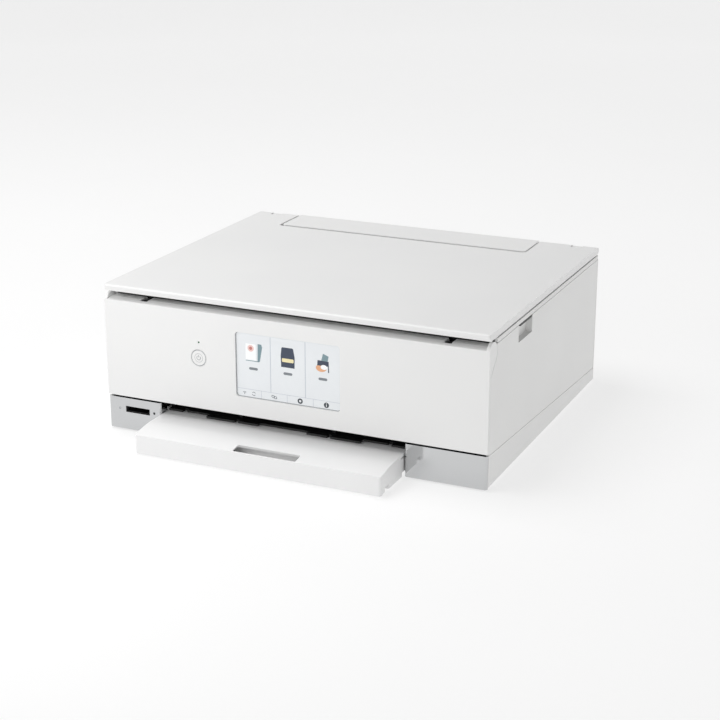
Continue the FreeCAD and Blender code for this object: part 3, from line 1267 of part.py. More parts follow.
def screws():
    """Tapping screws in the floor and through the rear cover."""
    heads = []
    for side in (-1, 1):
        for y in (FRONT + 62.0, CASE_REAR - 60.0):
            x = side * (HALF - 12.0)
            heads.append(rod("z", FOOT_HEIGHT - 0.9, FOOT_HEIGHT, (x, y), 2.6))
        x = side * (HALF - 8.0)
        heads.append(rod("y", CASE_REAR, CASE_REAR + 1.2, (x, 22.0), 3.0))
    return heads


PARTS = {
    "rubber_feet": rubber_feet,
    "bottom_case": bottom_case,
    "right_side_cover": lambda: [both_sides(side_cover)[0]],
    "left_side_cover": lambda: [both_sides(side_cover)[1]],
    "rear_cover": rear_cover,
    "rear_transport_cover": rear_transport_cover,
    "left_front_block": left_front_block,
    "right_front_block": right_front_block,
    "card_reader": card_reader,
    "access_lamp": access_lamp,
    "front_inner_frame": front_inner_frame,
    "cassette_base": cassette_base,
    "cassette_front": cassette_front,
    "cassette_cover": cassette_cover,
    "cassette_guide_left": cassette_guide_left,
    "cassette_guide_right": cassette_guide_right,
    "cassette_end_guide": cassette_end_guide,
    "operation_panel": operation_panel,
    "panel_rear_housing": panel_rear_housing,
    "touch_screen": touch_screen,
    "display_module": display_module,
    "panel_board": panel_board,
    "power_button": power_button,
    "scanner_base": scanner_base,
    "scanner_top_frame": scanner_top_frame,
    "platen_glass": platen_glass,
    "scan_carriage": scan_carriage,
    "scan_rail": scan_rail,
    "lid_hinge_legs": lid_hinge_legs,
    "document_cover": document_cover,
    "pressure_pad": pressure_pad,
    "rear_tray_cover": rear_tray_cover,
    "paper_support": paper_support,
    "rear_tray_housing": rear_tray_housing,
    "rear_guide_left": lambda: rear_guide(-1),
    "rear_guide_right": lambda: rear_guide(1),
    "main_frame": main_frame,
    "hinge_pins": hinge_pins,
    "drive_motors": drive_motors,
    "carriage_rail": carriage_rail,
    "platen": platen,
    "feed_roller": feed_roller,
    "feed_gear": feed_gear,
    "motor_pinion": motor_pinion,
    "eject_roller": eject_roller,
    "star_wheels": star_wheels,
    "print_carriage": print_carriage,
    "print_head": print_head,
    "ink_tanks": ink_tanks,
    "carriage_belt": carriage_belt,
    "drive_pulley": drive_pulley,
    "idler_pulley": idler_pulley,
    "purge_unit": purge_unit,
    "pickup_arm": pickup_arm,
    "pickup_roller": pickup_roller,
    "power_supply": power_supply,
    "power_inlet": power_inlet,
    "usb_port": usb_port,
    "main_board": main_board,
    "screws": screws,
}


def write_parts():
    os.makedirs("parts", exist_ok=True)
    for name, make in PARTS.items():
        solids = []
        for shape in make():
            solids += shape.Solids
        result = solids[0] if len(solids) == 1 else Part.makeCompound(solids)
        if not result.isValid():
            print("not valid:", name)
        print(name, len(solids))
        result.exportStep(os.path.join("parts", name + ".step"))


write_parts()
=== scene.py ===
import math

import bmesh
import bpy
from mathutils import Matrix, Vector


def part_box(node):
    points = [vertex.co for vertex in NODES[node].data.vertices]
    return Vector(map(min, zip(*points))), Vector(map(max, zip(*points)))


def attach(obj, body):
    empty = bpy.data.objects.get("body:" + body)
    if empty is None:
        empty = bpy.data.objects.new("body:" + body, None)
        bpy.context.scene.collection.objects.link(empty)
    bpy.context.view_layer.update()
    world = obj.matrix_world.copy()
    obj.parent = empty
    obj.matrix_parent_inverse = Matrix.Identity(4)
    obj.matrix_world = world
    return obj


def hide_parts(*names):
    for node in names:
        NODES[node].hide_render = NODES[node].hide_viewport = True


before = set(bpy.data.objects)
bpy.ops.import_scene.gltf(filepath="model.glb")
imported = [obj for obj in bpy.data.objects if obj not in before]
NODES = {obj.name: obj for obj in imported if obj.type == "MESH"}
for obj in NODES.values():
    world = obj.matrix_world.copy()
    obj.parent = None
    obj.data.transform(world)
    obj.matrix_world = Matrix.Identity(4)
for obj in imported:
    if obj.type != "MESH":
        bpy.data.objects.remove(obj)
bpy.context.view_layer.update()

MM = 0.001


# ---------------------------------------------------------------- colour and material tools

def linear(code, alpha=1.0):
    """An sRGB hex colour as linear red, green, blue and alpha."""
    parts = [int(code[i:i + 2], 16) / 255 for i in (1, 3, 5)]
    curve = [c / 12.92 if c <= 0.04045 else ((c + 0.055) / 1.055) ** 2.4 for c in parts]
    return (*curve, alpha)


def per_metre(size_mm):
    """The texture scale that gives a pattern of this size."""
    return 1.0 / (size_mm * MM)


def add(tree, kind, inputs=None, links=None, **settings):
    """Puts one node in a material, with its settings, its inputs' values and its links."""
    made = tree.nodes.new(kind)
    for name, value in settings.items():
        setattr(made, name, value)
    for name, value in (inputs or {}).items():
        made.inputs[name].default_value = value
    for name, socket in (links or {}).items():
        tree.links.new(socket, made.inputs[name])
    return made


def start(name, colour, roughness, **surface):
    """A material with its shader's constant values set, ready for its patterns."""
    material = bpy.data.materials.new(name)
    material.use_nodes = True
    tree = material.node_tree
    shader = tree.nodes["Principled BSDF"]
    shader.inputs["Base Color"].default_value = linear(colour)
    shader.inputs["Roughness"].default_value = roughness
    for socket, value in surface.items():
        shader.inputs[socket.replace("_", " ")].default_value = value
    material.diffuse_color = linear(colour)
    place = add(tree, "ShaderNodeTexCoord").outputs["Object"]
    return material, tree, shader, place


def grain(tree, shader, place, size_mm, depth_mm, stretch=(1, 1, 1)):
    """Relief of small pits of this size and depth, drawn out along an axis where stretch is small."""
    spread = add(tree, "ShaderNodeMapping", inputs={"Scale": stretch}, links={"Vector": place})
    noise = add(tree, "ShaderNodeTexNoise",
                inputs={"Scale": per_metre(size_mm), "Detail": 3.0, "Roughness": 0.6},
                links={"Vector": spread.outputs["Vector"]})
    bump = add(tree, "ShaderNodeBump", inputs={"Strength": 0.6, "Distance": depth_mm * MM},
               links={"Height": noise.outputs["Fac"]})
    tree.links.new(bump.outputs["Normal"], shader.inputs["Normal"])
    return noise


def mottle(tree, shader, place, first, second, size_mm, amount=0.5):
    """Slow drift between two near colours, as in any moulded or rolled surface."""
    noise = add(tree, "ShaderNodeTexNoise", inputs={"Scale": per_metre(size_mm), "Detail": 2.0},
                links={"Vector": place})
    ramp = add(tree, "ShaderNodeMapRange",
               inputs={"From Min": 0.5 - amount / 2, "From Max": 0.5 + amount / 2},
               links={"Value": noise.outputs["Fac"]})
    mix = add(tree, "ShaderNodeMix", data_type="RGBA", links={"Factor": ramp.outputs["Result"]})
    mix.inputs[6].default_value = linear(first)
    mix.inputs[7].default_value = linear(second)
    tree.links.new(mix.outputs[2], shader.inputs["Base Color"])
    return ramp


def uneven_gloss(tree, shader, place, low, high, size_mm):
    """Roughness that wanders between two values, as polish and handling leave it."""
    noise = add(tree, "ShaderNodeTexNoise", inputs={"Scale": per_metre(size_mm), "Detail": 4.0},
                links={"Vector": place})
    spread = add(tree, "ShaderNodeMapRange", inputs={"To Min": low, "To Max": high},
                 links={"Value": noise.outputs["Fac"]})
    tree.links.new(spread.outputs["Result"], shader.inputs["Roughness"])


# ---------------------------------------------------------------- materials

def moulded_white_abs():
    """ABS from a spark-eroded mould: a soft, even white with a fine tooth that blurs every reflection."""
    material, tree, shader, place = start("moulded_white_abs", "#e6e6e5", 0.42, IOR=1.53)
    mottle(tree, shader, place, "#e4e4e3", "#e9e9e8", 90, 0.7)
    # The real tooth is about 0.1 mm; it is drawn at 0.8 mm so that it can be seen.
    grain(tree, shader, place, 0.8, 0.018)
    return material


def satin_white_abs():
    """The lid's and panel's finer tooth: a little smoother, so that large faces carry a slow gradient."""
    material, tree, shader, place = start("satin_white_abs", "#e8e8e8", 0.34, IOR=1.53)
    mottle(tree, shader, place, "#e6e6e6", "#ebebea", 120, 0.7)
    # A 0.08 mm tooth, drawn at 0.7 mm.
    grain(tree, shader, place, 0.7, 0.008)
    return material


def metallised_gloss():
    """Plastic plated in bright silver under clear lacquer: it mirrors the cassette beside it."""
    material, tree, shader, place = start("metallised_gloss", "#c6c7c8", 0.07, Metallic=1.0,
                                          Coat_Weight=0.4, Coat_Roughness=0.04)
    uneven_gloss(tree, shader, place, 0.05, 0.1, 40)
    return material


def cassette_white():
    """Impact-resistant polystyrene: white with a slight waxy sheen."""
    material, tree, shader, place = start("cassette_white", "#e9e9e9", 0.38, IOR=1.59)
    mottle(tree, shader, place, "#e7e7e7", "#ececec", 70, 0.7)
    grain(tree, shader, place, 0.9, 0.01)
    return material


def black_abs():
    """Black ABS chassis plastic: deep and slightly satin, with faint flow marks."""
    material, tree, shader, place = start("black_abs", "#0c0c0d", 0.45, IOR=1.53)
    mottle(tree, shader, place, "#0a0a0b", "#131314", 30, 0.6)
    grain(tree, shader, place, 0.7, 0.012)
    return material


def dark_grey_abs():
    """Dark grey ABS of the inner housings."""
    material, tree, shader, place = start("dark_grey_abs", "#2d2d2f", 0.5, IOR=1.53)
    mottle(tree, shader, place, "#2a2a2c", "#333335", 35, 0.6)
    grain(tree, shader, place, 0.8, 0.014)
    return material


def light_grey_acetal():
    """Acetal guides that hands push along: pale grey, slippery and faintly polished by use."""
    material, tree, shader, place = start("light_grey_acetal", "#a9acae", 0.32, IOR=1.48)
    uneven_gloss(tree, shader, place, 0.26, 0.42, 12)
    grain(tree, shader, place, 0.6, 0.006)
    return material


def natural_acetal():
    """Uncoloured acetal for gears and pulleys: milky, with light bleeding a little under the skin."""
    material, tree, shader, place = start("natural_acetal", "#e4e1d8", 0.35, IOR=1.48, Subsurface_Weight=0.08,
                                          Subsurface_Scale=0.002)
    grain(tree, shader, place, 0.5, 0.006)
    return material


def nitrile_rubber():
    """Ground rubber of rollers and feet: dull black with a soft nap."""
    material, tree, shader, place = start("nitrile_rubber", "#17171a", 0.82, IOR=1.5, Sheen_Weight=0.15,
                                          Sheen_Roughness=0.5)
    mottle(tree, shader, place, "#141416", "#202023", 9, 0.6)
    grain(tree, shader, place, 0.5, 0.03)
    return material


def drawn_steel():
    """Drawn and nickel-plated steel rod: fine lines along its length."""
    material, tree, shader, place = start("drawn_steel", "#b9bbbd", 0.25, Metallic=1.0)
    grain(tree, shader, place, 0.25, 0.004, (0.04, 1, 1))
    uneven_gloss(tree, shader, place, 0.18, 0.32, 6)
    return material


def zinc_sheet():
    """Rolled sheet steel with a zinc skin: grey, with long rolling streaks."""
    material, tree, shader, place = start("zinc_sheet", "#a2a5a8", 0.38, Metallic=1.0)
    mottle(tree, shader, place, "#9da0a3", "#b0b3b5", 14, 0.5)
    grain(tree, shader, place, 0.4, 0.006, (0.05, 1, 1))
    return material


def float_glass():
    """Scanner glass: clear, flat and fire polished, with a faint green body."""
    material, tree, shader, place = start("float_glass", "#f4fbf8", 0.02, IOR=1.52, Transmission_Weight=1.0)
    uneven_gloss(tree, shader, place, 0.01, 0.03, 60)
    return material


def screen_acrylic():
    """The lit touch screen behind its hard-coated face: cool white and glossy."""
    material, tree, shader, place = start("screen_acrylic", "#eceff1", 0.12, IOR=1.49, Coat_Weight=0.6,
                                          Coat_Roughness=0.04)
    shader.inputs["Emission Color"].default_value = linear("#eef2f4")
    shader.inputs["Emission Strength"].default_value = 0.03
    mottle(tree, shader, place, "#e2e5e8", "#e6e9eb", 50, 0.6)
    return material


def printed_ink(name, colour):
    """A flat printed or lit colour with a slight dot pattern, for the screen's signs and for labels."""
    material, tree, shader, place = start(name, colour, 0.4, IOR=1.5)
    grain(tree, shader, place, 0.4, 0.002)
    return material


def board_green():
    """Fibreglass circuit board under green resist, with paler copper runs showing through."""
    material, tree, shader, place = start("board_green", "#14532d", 0.4, IOR=1.55)
    # Copper runs of about 2.5 mm pitch.
    runs = add(tree, "ShaderNodeTexVoronoi", inputs={"Scale": per_metre(2.5)}, links={"Vector": place},
               feature="DISTANCE_TO_EDGE")
    edge = add(tree, "ShaderNodeMapRange", inputs={"From Min": 0.03, "From Max": 0.08},
               links={"Value": runs.outputs["Distance"]})
    mix = add(tree, "ShaderNodeMix", data_type="RGBA", links={"Factor": edge.outputs["Result"]})
    mix.inputs[6].default_value = linear("#3f8a55")
    mix.inputs[7].default_value = linear("#124a28")
    tree.links.new(mix.outputs[2], shader.inputs["Base Color"])
    return material


def pad_film():
    """Calendered white film over foam, on the underside of the lid."""
    material, tree, shader, place = start("pad_film", "#f4f4f2", 0.55, IOR=1.5)
    mottle(tree, shader, place, "#f1f1ef", "#f7f7f6", 25, 0.6)
    grain(tree, shader, place, 1.2, 0.02)
    return material


def tank_plastic():
    """Smoked polypropylene ink tanks: nearly black and glossy."""
    material, tree, shader, place = start("tank_plastic", "#16161a", 0.2, IOR=1.49)
    uneven_gloss(tree, shader, place, 0.14, 0.3, 15)
    return material


def light_pipe():
    """Clear polycarbonate that carries a lamp's light to the surface."""
    material, tree, shader, place = start("light_pipe", "#33363a", 0.15, IOR=1.58, Transmission_Weight=0.3)
    uneven_gloss(tree, shader, place, 0.1, 0.2, 3)
    return material


def studio_paper():
    """Seamless studio paper."""
    material, tree, shader, place = start("studio_paper", "#999999", 0.9)
    shader.inputs["Emission Color"].default_value = linear("#ffffff")
    shader.inputs["Emission Strength"].default_value = 0.66
    mottle(tree, shader, place, "#979797", "#9b9b9b", 300, 0.8)
    return material


WHITE = moulded_white_abs()
SATIN = satin_white_abs()
SILVER = metallised_gloss()
CASSETTE = cassette_white()
BLACK = black_abs()
DARK = dark_grey_abs()
GUIDE = light_grey_acetal()
ACETAL = natural_acetal()
RUBBER = nitrile_rubber()
STEEL = drawn_steel()
ZINC = zinc_sheet()
GLASS = float_glass()
SCREEN = screen_acrylic()
BOARD = board_green()
PAD = pad_film()
TANK = tank_plastic()
LAMP = light_pipe()
RING_GREY = printed_ink("ring_grey", "#b4b6b8")
SIGN_GREY = printed_ink("sign_grey", "#7f858a")
SIGN_DARK = printed_ink("sign_dark", "#3e454b")
SIGN_NAVY = printed_ink("sign_navy", "#3d4658")
SIGN_TEAL = printed_ink("sign_teal", "#7d959c")
SIGN_YELLOW = printed_ink("sign_yellow", "#efe3b4")
SIGN_ORANGE = printed_ink("sign_orange", "#e3ab84")
SIGN_PINK = printed_ink("sign_pink", "#ecc9c4")
SIGN_RED = printed_ink("sign_red", "#c07a72")
SIGN_WHITE = printed_ink("sign_white", "#fbfcfd")
SIGN_LINE = printed_ink("sign_line", "#c3c8d0")

FINISH = {
    WHITE: ["bottom_case", "right_side_cover", "left_side_cover", "rear_cover", "scanner_top_frame",
            "lid_hinge_legs"],
    SATIN: ["document_cover", "operation_panel", "rear_tray_cover", "power_button"],
    SILVER: ["left_front_block", "right_front_block"],
    CASSETTE: ["cassette_base", "cassette_front", "cassette_cover"],
    # The scanner base's black is partly its own colour and partly painted shade that darkens the gap under
    # the lid's front edge.
    BLACK: ["card_reader", "front_inner_frame", "main_frame", "platen", "power_supply", "power_inlet",
            "scan_carriage", "print_carriage", "scanner_base"],
    DARK: ["rear_tray_housing", "rear_transport_cover", "panel_rear_housing", "purge_unit",
           "print_head", "pickup_arm"],
    GUIDE: ["cassette_guide_left", "cassette_guide_right", "cassette_end_guide", "rear_guide_left",
            "rear_guide_right", "paper_support", "display_module"],
    ACETAL: ["feed_gear", "motor_pinion", "drive_pulley", "idler_pulley"],
    RUBBER: ["rubber_feet", "eject_roller", "pickup_roller", "carriage_belt"],
    STEEL: ["hinge_pins", "scan_rail", "star_wheels", "screws", "feed_roller", "drive_motors"],
    ZINC: ["carriage_rail", "usb_port"],
    GLASS: ["platen_glass"],
    SCREEN: ["touch_screen"],
    BOARD: ["main_board", "panel_board"],
    PAD: ["pressure_pad"],
    TANK: ["ink_tanks"],
    LAMP: ["access_lamp"],
}


def paint_nodes():
    for material, names in FINISH.items():
        for name in names:
            NODES[name].data.materials.clear()
            NODES[name].data.materials.append(material)


# Edge radii, in millimetres, that the moulds leave on each visible cover.
EDGES = {
    "document_cover": 0.7, "operation_panel": 0.5, "right_side_cover": 0.4, "left_side_cover": 0.4,
    "rear_cover": 0.4, "bottom_case": 0.5, "scanner_top_frame": 0.5,
    "left_front_block": 1.0, "right_front_block": 1.0,
    "cassette_front": 0.6, "cassette_base": 0.3, "rear_tray_cover": 0.6,
    "rear_transport_cover": 0.6, "paper_support": 0.4, "rubber_feet": 0.5, "power_button": 0.25,
    "rear_guide_left": 0.3, "rear_guide_right": 0.3, "front_inner_frame": 0.4, "print_carriage": 0.6,
    "ink_tanks": 0.5, "pressure_pad": 0.6, "scanner_base": 0.4, "pickup_arm": 0.3, "rear_tray_housing": 0.4,
    "pickup_roller": 0.5, "eject_roller": 0.3, "power_supply": 0.6, "drive_motors": 0.5,
}


def soften_edges():
    """Gives each cover the small edge radius its mould has, so that its edges catch the light."""
    for name, radius in EDGES.items():
        node = NODES[name]
        weld = node.modifiers.new("weld", "WELD")
        weld.merge_threshold = 0.002 * MM
        bevel = node.modifiers.new("edge", "BEVEL")
        bevel.width = radius * MM
        bevel.segments = 3
        bevel.limit_method = "ANGLE"
        bevel.angle_limit = math.radians(38)
        bevel.use_clamp_overlap = True
        bevel.harden_normals = True


# ---------------------------------------------------------------- mesh tools

def piece(name, body, build, material):
    """A new mesh piece that build fills, riding on a body."""
    shape = bmesh.new()
    build(shape)
    bmesh.ops.remove_doubles(shape, verts=shape.verts, dist=1e-7)
    bmesh.ops.recalc_face_normals(shape, faces=shape.faces)
    mesh = bpy.data.meshes.new(name)
    shape.to_mesh(mesh)
    shape.free()
    made = bpy.data.objects.new(name, mesh)
    bpy.context.scene.collection.objects.link(made)
    mesh.materials.append(material)
    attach(made, body)
    return made


def facing_front(x, z, y):
    return Vector((x, y, z))


def facing_side(y, z, x):
    return Vector((x, y, z))


def facing_up(x, y, z):
    return Vector((x, y, z))


def slab(shape, outline, low, high, place=facing_front):
    """A closed slab: an outline in a plane, carried from low to high across it."""
    front = [shape.verts.new(place(a, b, low)) for a, b in outline]
    back = [shape.verts.new(place(a, b, high)) for a, b in outline]
    shape.faces.new(front)
    shape.faces.new(back[::-1])
    for i in range(len(outline)):
        j = (i + 1) % len(outline)
        shape.faces.new((front[i], front[j], back[j], back[i]))


def oblong(x0, z0, x1, z1, radius=0.0, steps=5):
    """A rectangle whose corners have this radius."""
    if radius <= 0:
        return [(x0, z0), (x1, z0), (x1, z1), (x0, z1)]
    spots = []
    for cx, cz, turn in ((x1 - radius, z0 + radius, -90), (x1 - radius, z1 - radius, 0),
                         (x0 + radius, z1 - radius, 90), (x0 + radius, z0 + radius, 180)):
        for i in range(steps + 1):
            a = math.radians(turn + 90 * i / steps)
            spots.append((cx + radius * math.cos(a), cz + radius * math.sin(a)))
    return spots


def disc(cx, cz, radius, steps=36, stretch=1.0, tilt=0.0):
    spots = []
    for i in range(steps):
        a = 2 * math.pi * i / steps
        u, v = radius * math.cos(a) * stretch, radius * math.sin(a)
        spots.append((cx + u * math.cos(tilt) - v * math.sin(tilt),
                      cz + u * math.sin(tilt) + v * math.cos(tilt)))
    return spots


def band(shape, outer, inner, low, high, place=facing_front, closed=True):
    """A closed ring or open band between two outlines with equal numbers of points."""
    rows = [[shape.verts.new(place(a, b, level)) for a, b in line] for line, level in
            ((outer, low), (outer, high), (inner, high), (inner, low))]
    count = len(outer)
    for i in range(count if closed else count - 1):
        j = (i + 1) % count
        for k in range(4):
            m = (k + 1) % 4
            shape.faces.new((rows[k][i], rows[k][j], rows[m][j], rows[m][i]))
    if not closed:
        shape.faces.new([row[0] for row in rows])
        shape.faces.new([row[-1] for row in rows][::-1])


def arc_line(cx, cz, radius, first, last, steps=24):
    turns = [math.radians(first + (last - first) * i / steps) for i in range(steps + 1)]
    return [(cx + radius * math.cos(a), cz + radius * math.sin(a)) for a in turns]


# ---------------------------------------------------------------- operation panel details

def ring_mark(cx, cz, outer, inner, low, high, first=0, last=360):
    """A function that builds a ring, or a part of one, facing the front."""
    def build(shape):
        if last - first >= 360:
            band(shape, disc(cx, cz, outer, 64), disc(cx, cz, inner, 64), low, high)
        else:
            band(shape, arc_line(cx, cz, outer, first, last), arc_line(cx, cz, inner, first, last), low, high,
                 closed=False)
    return build


def power_sign():
    """The ring line, inner ring and on-off sign let into the power button."""
    low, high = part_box("power_button")
    cx, cz = (low.x + high.x) / 2, (low.z + high.z) / 2
    face = low.y
    radius = (high.x - low.x) / 2
    outer = ring_mark(cx, cz, radius - 0.05 * MM, radius - 0.75 * MM, face - 0.03 * MM, face + 0.3 * MM)
    inner = ring_mark(cx, cz, 4.15 * MM, 3.75 * MM, face + 0.1 * MM, face + 0.45 * MM)
    piece("power_ring", "power_key", outer, RING_GREY)
    piece("power_inner_ring", "power_key", inner, RING_GREY)

    def build(shape):
        r = 2.1 * MM
        stroke = 0.42 * MM
        front, back = face - 0.03 * MM, face + 0.2 * MM
        band(shape, arc_line(cx, cz, r, 125, 415), arc_line(cx, cz, r - stroke, 125, 415), front, back,
             closed=False)
        bar = oblong(cx - stroke / 2, cz + 0.5 * MM, cx + stroke / 2, cz + 2.9 * MM, 0.15 * MM)
        slab(shape, bar, front, back)
    piece("power_sign", "power_key", build, SIGN_GREY)


class ScreenFace:
    """Places things on the lit face by millimetres from its lower left corner."""

    def __init__(self):
        low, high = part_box("touch_screen")
        self.x, self.z = low.x, low.z
        self.width = (high.x - low.x) / MM
        self.height = (high.z - low.z) / MM
        self.face = low.y

    def at(self, points):
        return [(self.x + u * MM, self.z + v * MM) for u, v in points]

    def show(self, name, outlines, material, level=0.05):
        def build(shape):
            for outline in outlines:
                slab(shape, self.at(outline), self.face - level * MM, self.face + 0.02 * MM)
        return piece(name, "panel", build, material)


def screen_layout(face):
    """Three columns over a bar of four cells, with thin lines between."""
    bar = face.height * 0.125
    lines = []
    for share in (1 / 3, 2 / 3):
        x = face.width * share
        lines.append(oblong(x - 0.35, bar, x + 0.35, face.height - 1.2))
    lines.append(oblong(0.8, bar - 0.2, face.width - 0.8, bar + 0.2))
    for share in (0.24, 0.49, 0.74):
        x = face.width * share
        lines.append(oblong(x - 0.2, 0.6, x + 0.2, bar))
    face.show("screen_lines", lines, SIGN_LINE, 0.03)
    labels = []
    for share, length in ((1 / 6, 8.6), (1 / 2, 8.6), (5 / 6, 8.4)):
        x = face.width * share
        labels.append(oblong(x - length / 2, 26.0, x + length / 2, 28.4, 1.1))
    face.show("screen_label_bars", labels, SIGN_GREY)
    return bar


def copy_sign(face):
    """A sheet with a spot beside an open flap."""
    x, z = face.width / 6, 42.0
    sheet = [(x - 7.5, z - 7.0), (x + 2.6, z - 7.0), (x + 2.6, z + 8.0), (x - 7.5, z + 8.0)]
    face.show("copy_sheet", [sheet], SIGN_WHITE, 0.04)
    face.show("copy_halo", [disc(x - 2.4, z + 4.0, 3.1)], SIGN_PINK, 0.06)
    face.show("copy_spot", [disc(x - 2.4, z + 4.0, 1.5)], SIGN_RED, 0.08)
    flap = [(x + 4.2, z - 7.4), (x + 6.4, z - 7.6), (x + 9.0, z + 6.0), (x + 8.2, z + 8.6),
            (x + 4.6, z + 8.8)]
    edge = oblong(x - 7.5, z - 7.9, x + 5.6, z - 7.2)
    face.show("copy_flap", [flap, edge], SIGN_TEAL)


def scan_sign(face):
    """A dark box, narrower at the top, with a band of light across it."""
    x, z = face.width / 2, 42.0
    body = [(x - 6.4, z - 9.0), (x + 6.6, z - 9.0), (x + 6.8, z + 1.0), (x + 5.4, z + 8.6),
            (x + 4.6, z + 9.2), (x - 5.2, z + 9.2), (x - 6.0, z + 8.4), (x - 6.8, z + 1.0)]
    face.show("scan_body", [body], SIGN_NAVY)
    face.show("scan_glow", [oblong(x - 5.6, z - 4.2, x + 5.8, z - 0.8, 0.9)], SIGN_YELLOW, 0.08)


def print_sign(face):
    """A small machine with a raised back, a sheet in front and a warm tray."""
    x, z = face.width * 5 / 6, 42.0
    back = [(x - 1.6, z + 1.6), (x + 4.6, z + 1.6), (x + 5.6, z + 6.6), (x + 0.2, z + 8.6)]
    case = [(x - 5.4, z - 2.6), (x + 5.0, z - 2.6), (x + 5.0, z - 8.2), (x + 6.0, z - 8.2),
            (x + 5.6, z + 1.8), (x - 5.0, z + 2.2)]
    face.show("print_back", [back], SIGN_TEAL)
    face.show("print_case", [case], SIGN_NAVY, 0.06)
    face.show("print_tray", [disc(x - 1.6, z - 4.8, 3.4, stretch=1.5)], SIGN_ORANGE, 0.04)
    face.show("print_sheet", [disc(x + 1.0, z - 3.8, 2.2, stretch=1.4)], SIGN_WHITE, 0.08)


def bar_signs(face, bar):
    """Small signs of the lower bar: signal, turn, link, setting and note."""
    z = bar / 2
    signal = face.width * 0.075
    turn = face.width * 0.165
    link = face.width * 0.365
    setting = face.width * 0.615
    note = face.width * 0.865

    def ring(x, y, outer, inner, stretch=1.0, tilt=0.0):
        return face.at(disc(x, y, outer, 32, stretch, tilt)), face.at(disc(x, y, inner, 32, stretch, tilt))

    low, high = face.face - 0.05 * MM, face.face + 0.02 * MM

    def grey(shape):
        for r in (0.9, 1.9):
            outer = face.at(arc_line(signal, z - 1.0, r + 0.35, 40, 140, 10))
            inner = face.at(arc_line(signal, z - 1.0, r - 0.1, 40, 140, 10))
            band(shape, outer, inner, low, high, closed=False)
        slab(shape, face.at(disc(signal, z - 1.0, 0.4, 16)), low, high)
        for first in (20, 200):
            outer = face.at(arc_line(turn, z, 1.9, first, first + 130, 10))
            inner = face.at(arc_line(turn, z, 1.35, first, first + 130, 10))
            band(shape, outer, inner, low, high, closed=False)
        for shift in (-1.1, 1.1):
            outer, inner = ring(link + shift, z - shift * 0.3, 1.3, 0.75, 1.35, -0.35)
            band(shape, outer, inner, low - shift * 0.01 * MM, high)
    piece("bar_signs_grey", "panel", grey, SIGN_GREY)

    def dark(shape):
        outer, inner = ring(setting, z, 2.5, 1.15)
        band(shape, outer, inner, low, high)
        slab(shape, face.at(disc(note, z, 2.5, 32)), low, high)
    piece("bar_signs_dark", "panel", dark, SIGN_DARK)
    stroke = oblong(note - 0.3, z - 1.4, note + 0.3, z + 0.6)
    face.show("note_stroke", [stroke, disc(note, z + 1.4, 0.38, 14)], SIGN_WHITE, 0.08)


def touch_screen_signs():
    face = ScreenFace()
    bar = screen_layout(face)
    copy_sign(face)
    scan_sign(face)
    print_sign(face)
    bar_signs(face, bar)


def screen_frame():
    """The fine dark joint round the glass, of even width all round."""
    low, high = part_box("touch_screen")

    def build(shape):
        outer = oblong(low.x - 0.09 * MM, low.z - 0.09 * MM, high.x + 0.09 * MM, high.z + 0.09 * MM, 2.9 * MM)
        inner = oblong(low.x + 0.35 * MM, low.z + 0.35 * MM, high.x - 0.35 * MM, high.z - 0.35 * MM, 2.6 * MM)
        band(shape, outer, inner, low.y - 0.04 * MM, low.y + 0.1 * MM)
    piece("screen_joint", "panel", build, SIGN_GREY)


# ---------------------------------------------------------------- details of the case

def card_mark():
    """A small blank sign beside the card slot."""
    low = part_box("left_front_block")[0]
    slot_low, slot_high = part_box("card_reader")
    x, z = low.x + 11.6 * MM, (slot_low.z + slot_high.z) / 2

    def build(shape):
        outer = disc(x, z, 1.3 * MM, 4, tilt=math.pi / 4)
        inner = disc(x, z, 0.75 * MM, 4, tilt=math.pi / 4)
        band(shape, outer, inner, low.y - 0.03 * MM, low.y + 0.1 * MM)
    piece("card_mark", "case", build, SIGN_GREY)


def painted_gap_shade():
    """A black strip on the front of the scanner's rim: painted shade that stands in for the deep dark gap
    under the lid's front edge.
    """
    low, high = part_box("scanner_top_frame")
    ends = high.x - 3 * MM

    def build(shape):
        spots = oblong(-ends, low.z + 0.4 * MM, ends, high.z - 0.1 * MM, 0.5 * MM)
        slab(shape, spots, low.y - 0.3 * MM, low.y + 0.3 * MM)
    piece("painted_gap_shade", "scanner", build, BLACK)


def grip_painted_shadows():
    """A black block at the top of each finger grip: painted shadow that stands in for the dark slit where the
    cover laps over the chassis.
    """
    for side, name in ((1, "right_side_cover"), (-1, "left_side_cover")):
        low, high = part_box(name)
        face = high.x if side > 0 else low.x
        y0, y1 = low.y + 75 * MM, low.y + 107 * MM

        def build(shape):
            inner, outer = sorted((face - side * 5.4 * MM, face - side * 0.9 * MM))
            spots = oblong(y0, high.z - 2.6 * MM, y1, high.z - 0.7 * MM, 0.8 * MM)
            slab(shape, spots, inner, outer, facing_side)
        piece("grip_painted_shadow_" + ("right" if side > 0 else "left"), "case", build, BLACK)


def crossed_head(shape, centre, radius, height, place):
    """One domed head: rings that rise to a dome, sunk to a cross in the middle."""
    steps = 48
    arm = radius * 0.62
    half = radius * 0.13
    rings = []
    turns = [2 * math.pi * i / steps for i in range(steps)]
    for share, h in ((1.0, 0.0), (1.0, 0.35), (0.92, 0.7), (0.75, 0.95), (0.66, 1.0)):
        r = radius * share
        spots = [(r * math.cos(a), r * math.sin(a)) for a in turns]
        rings.append([shape.verts.new(place(centre, u, v, h * height)) for u, v in spots])
    cross = []
    for a in turns:
        c, s = math.cos(a), math.sin(a)
        if min(abs(c), abs(s)) < half / arm * 1.4:
            r = arm
        else:
            r = min(half / min(abs(c), abs(s)), arm)
        cross.append((r * c, r * s))
    rings.append([shape.verts.new(place(centre, u, v, height)) for u, v in cross])
    rings.append([shape.verts.new(place(centre, u * 0.9, v * 0.9, height * 0.25)) for u, v in cross])
    for a, b in zip(rings, rings[1:]):
        for i in range(steps):
            j = (i + 1) % steps
            shape.faces.new((a[i], a[j], b[j], b[i]))
    shape.faces.new(rings[-1])
    shape.faces.new(rings[0][::-1])


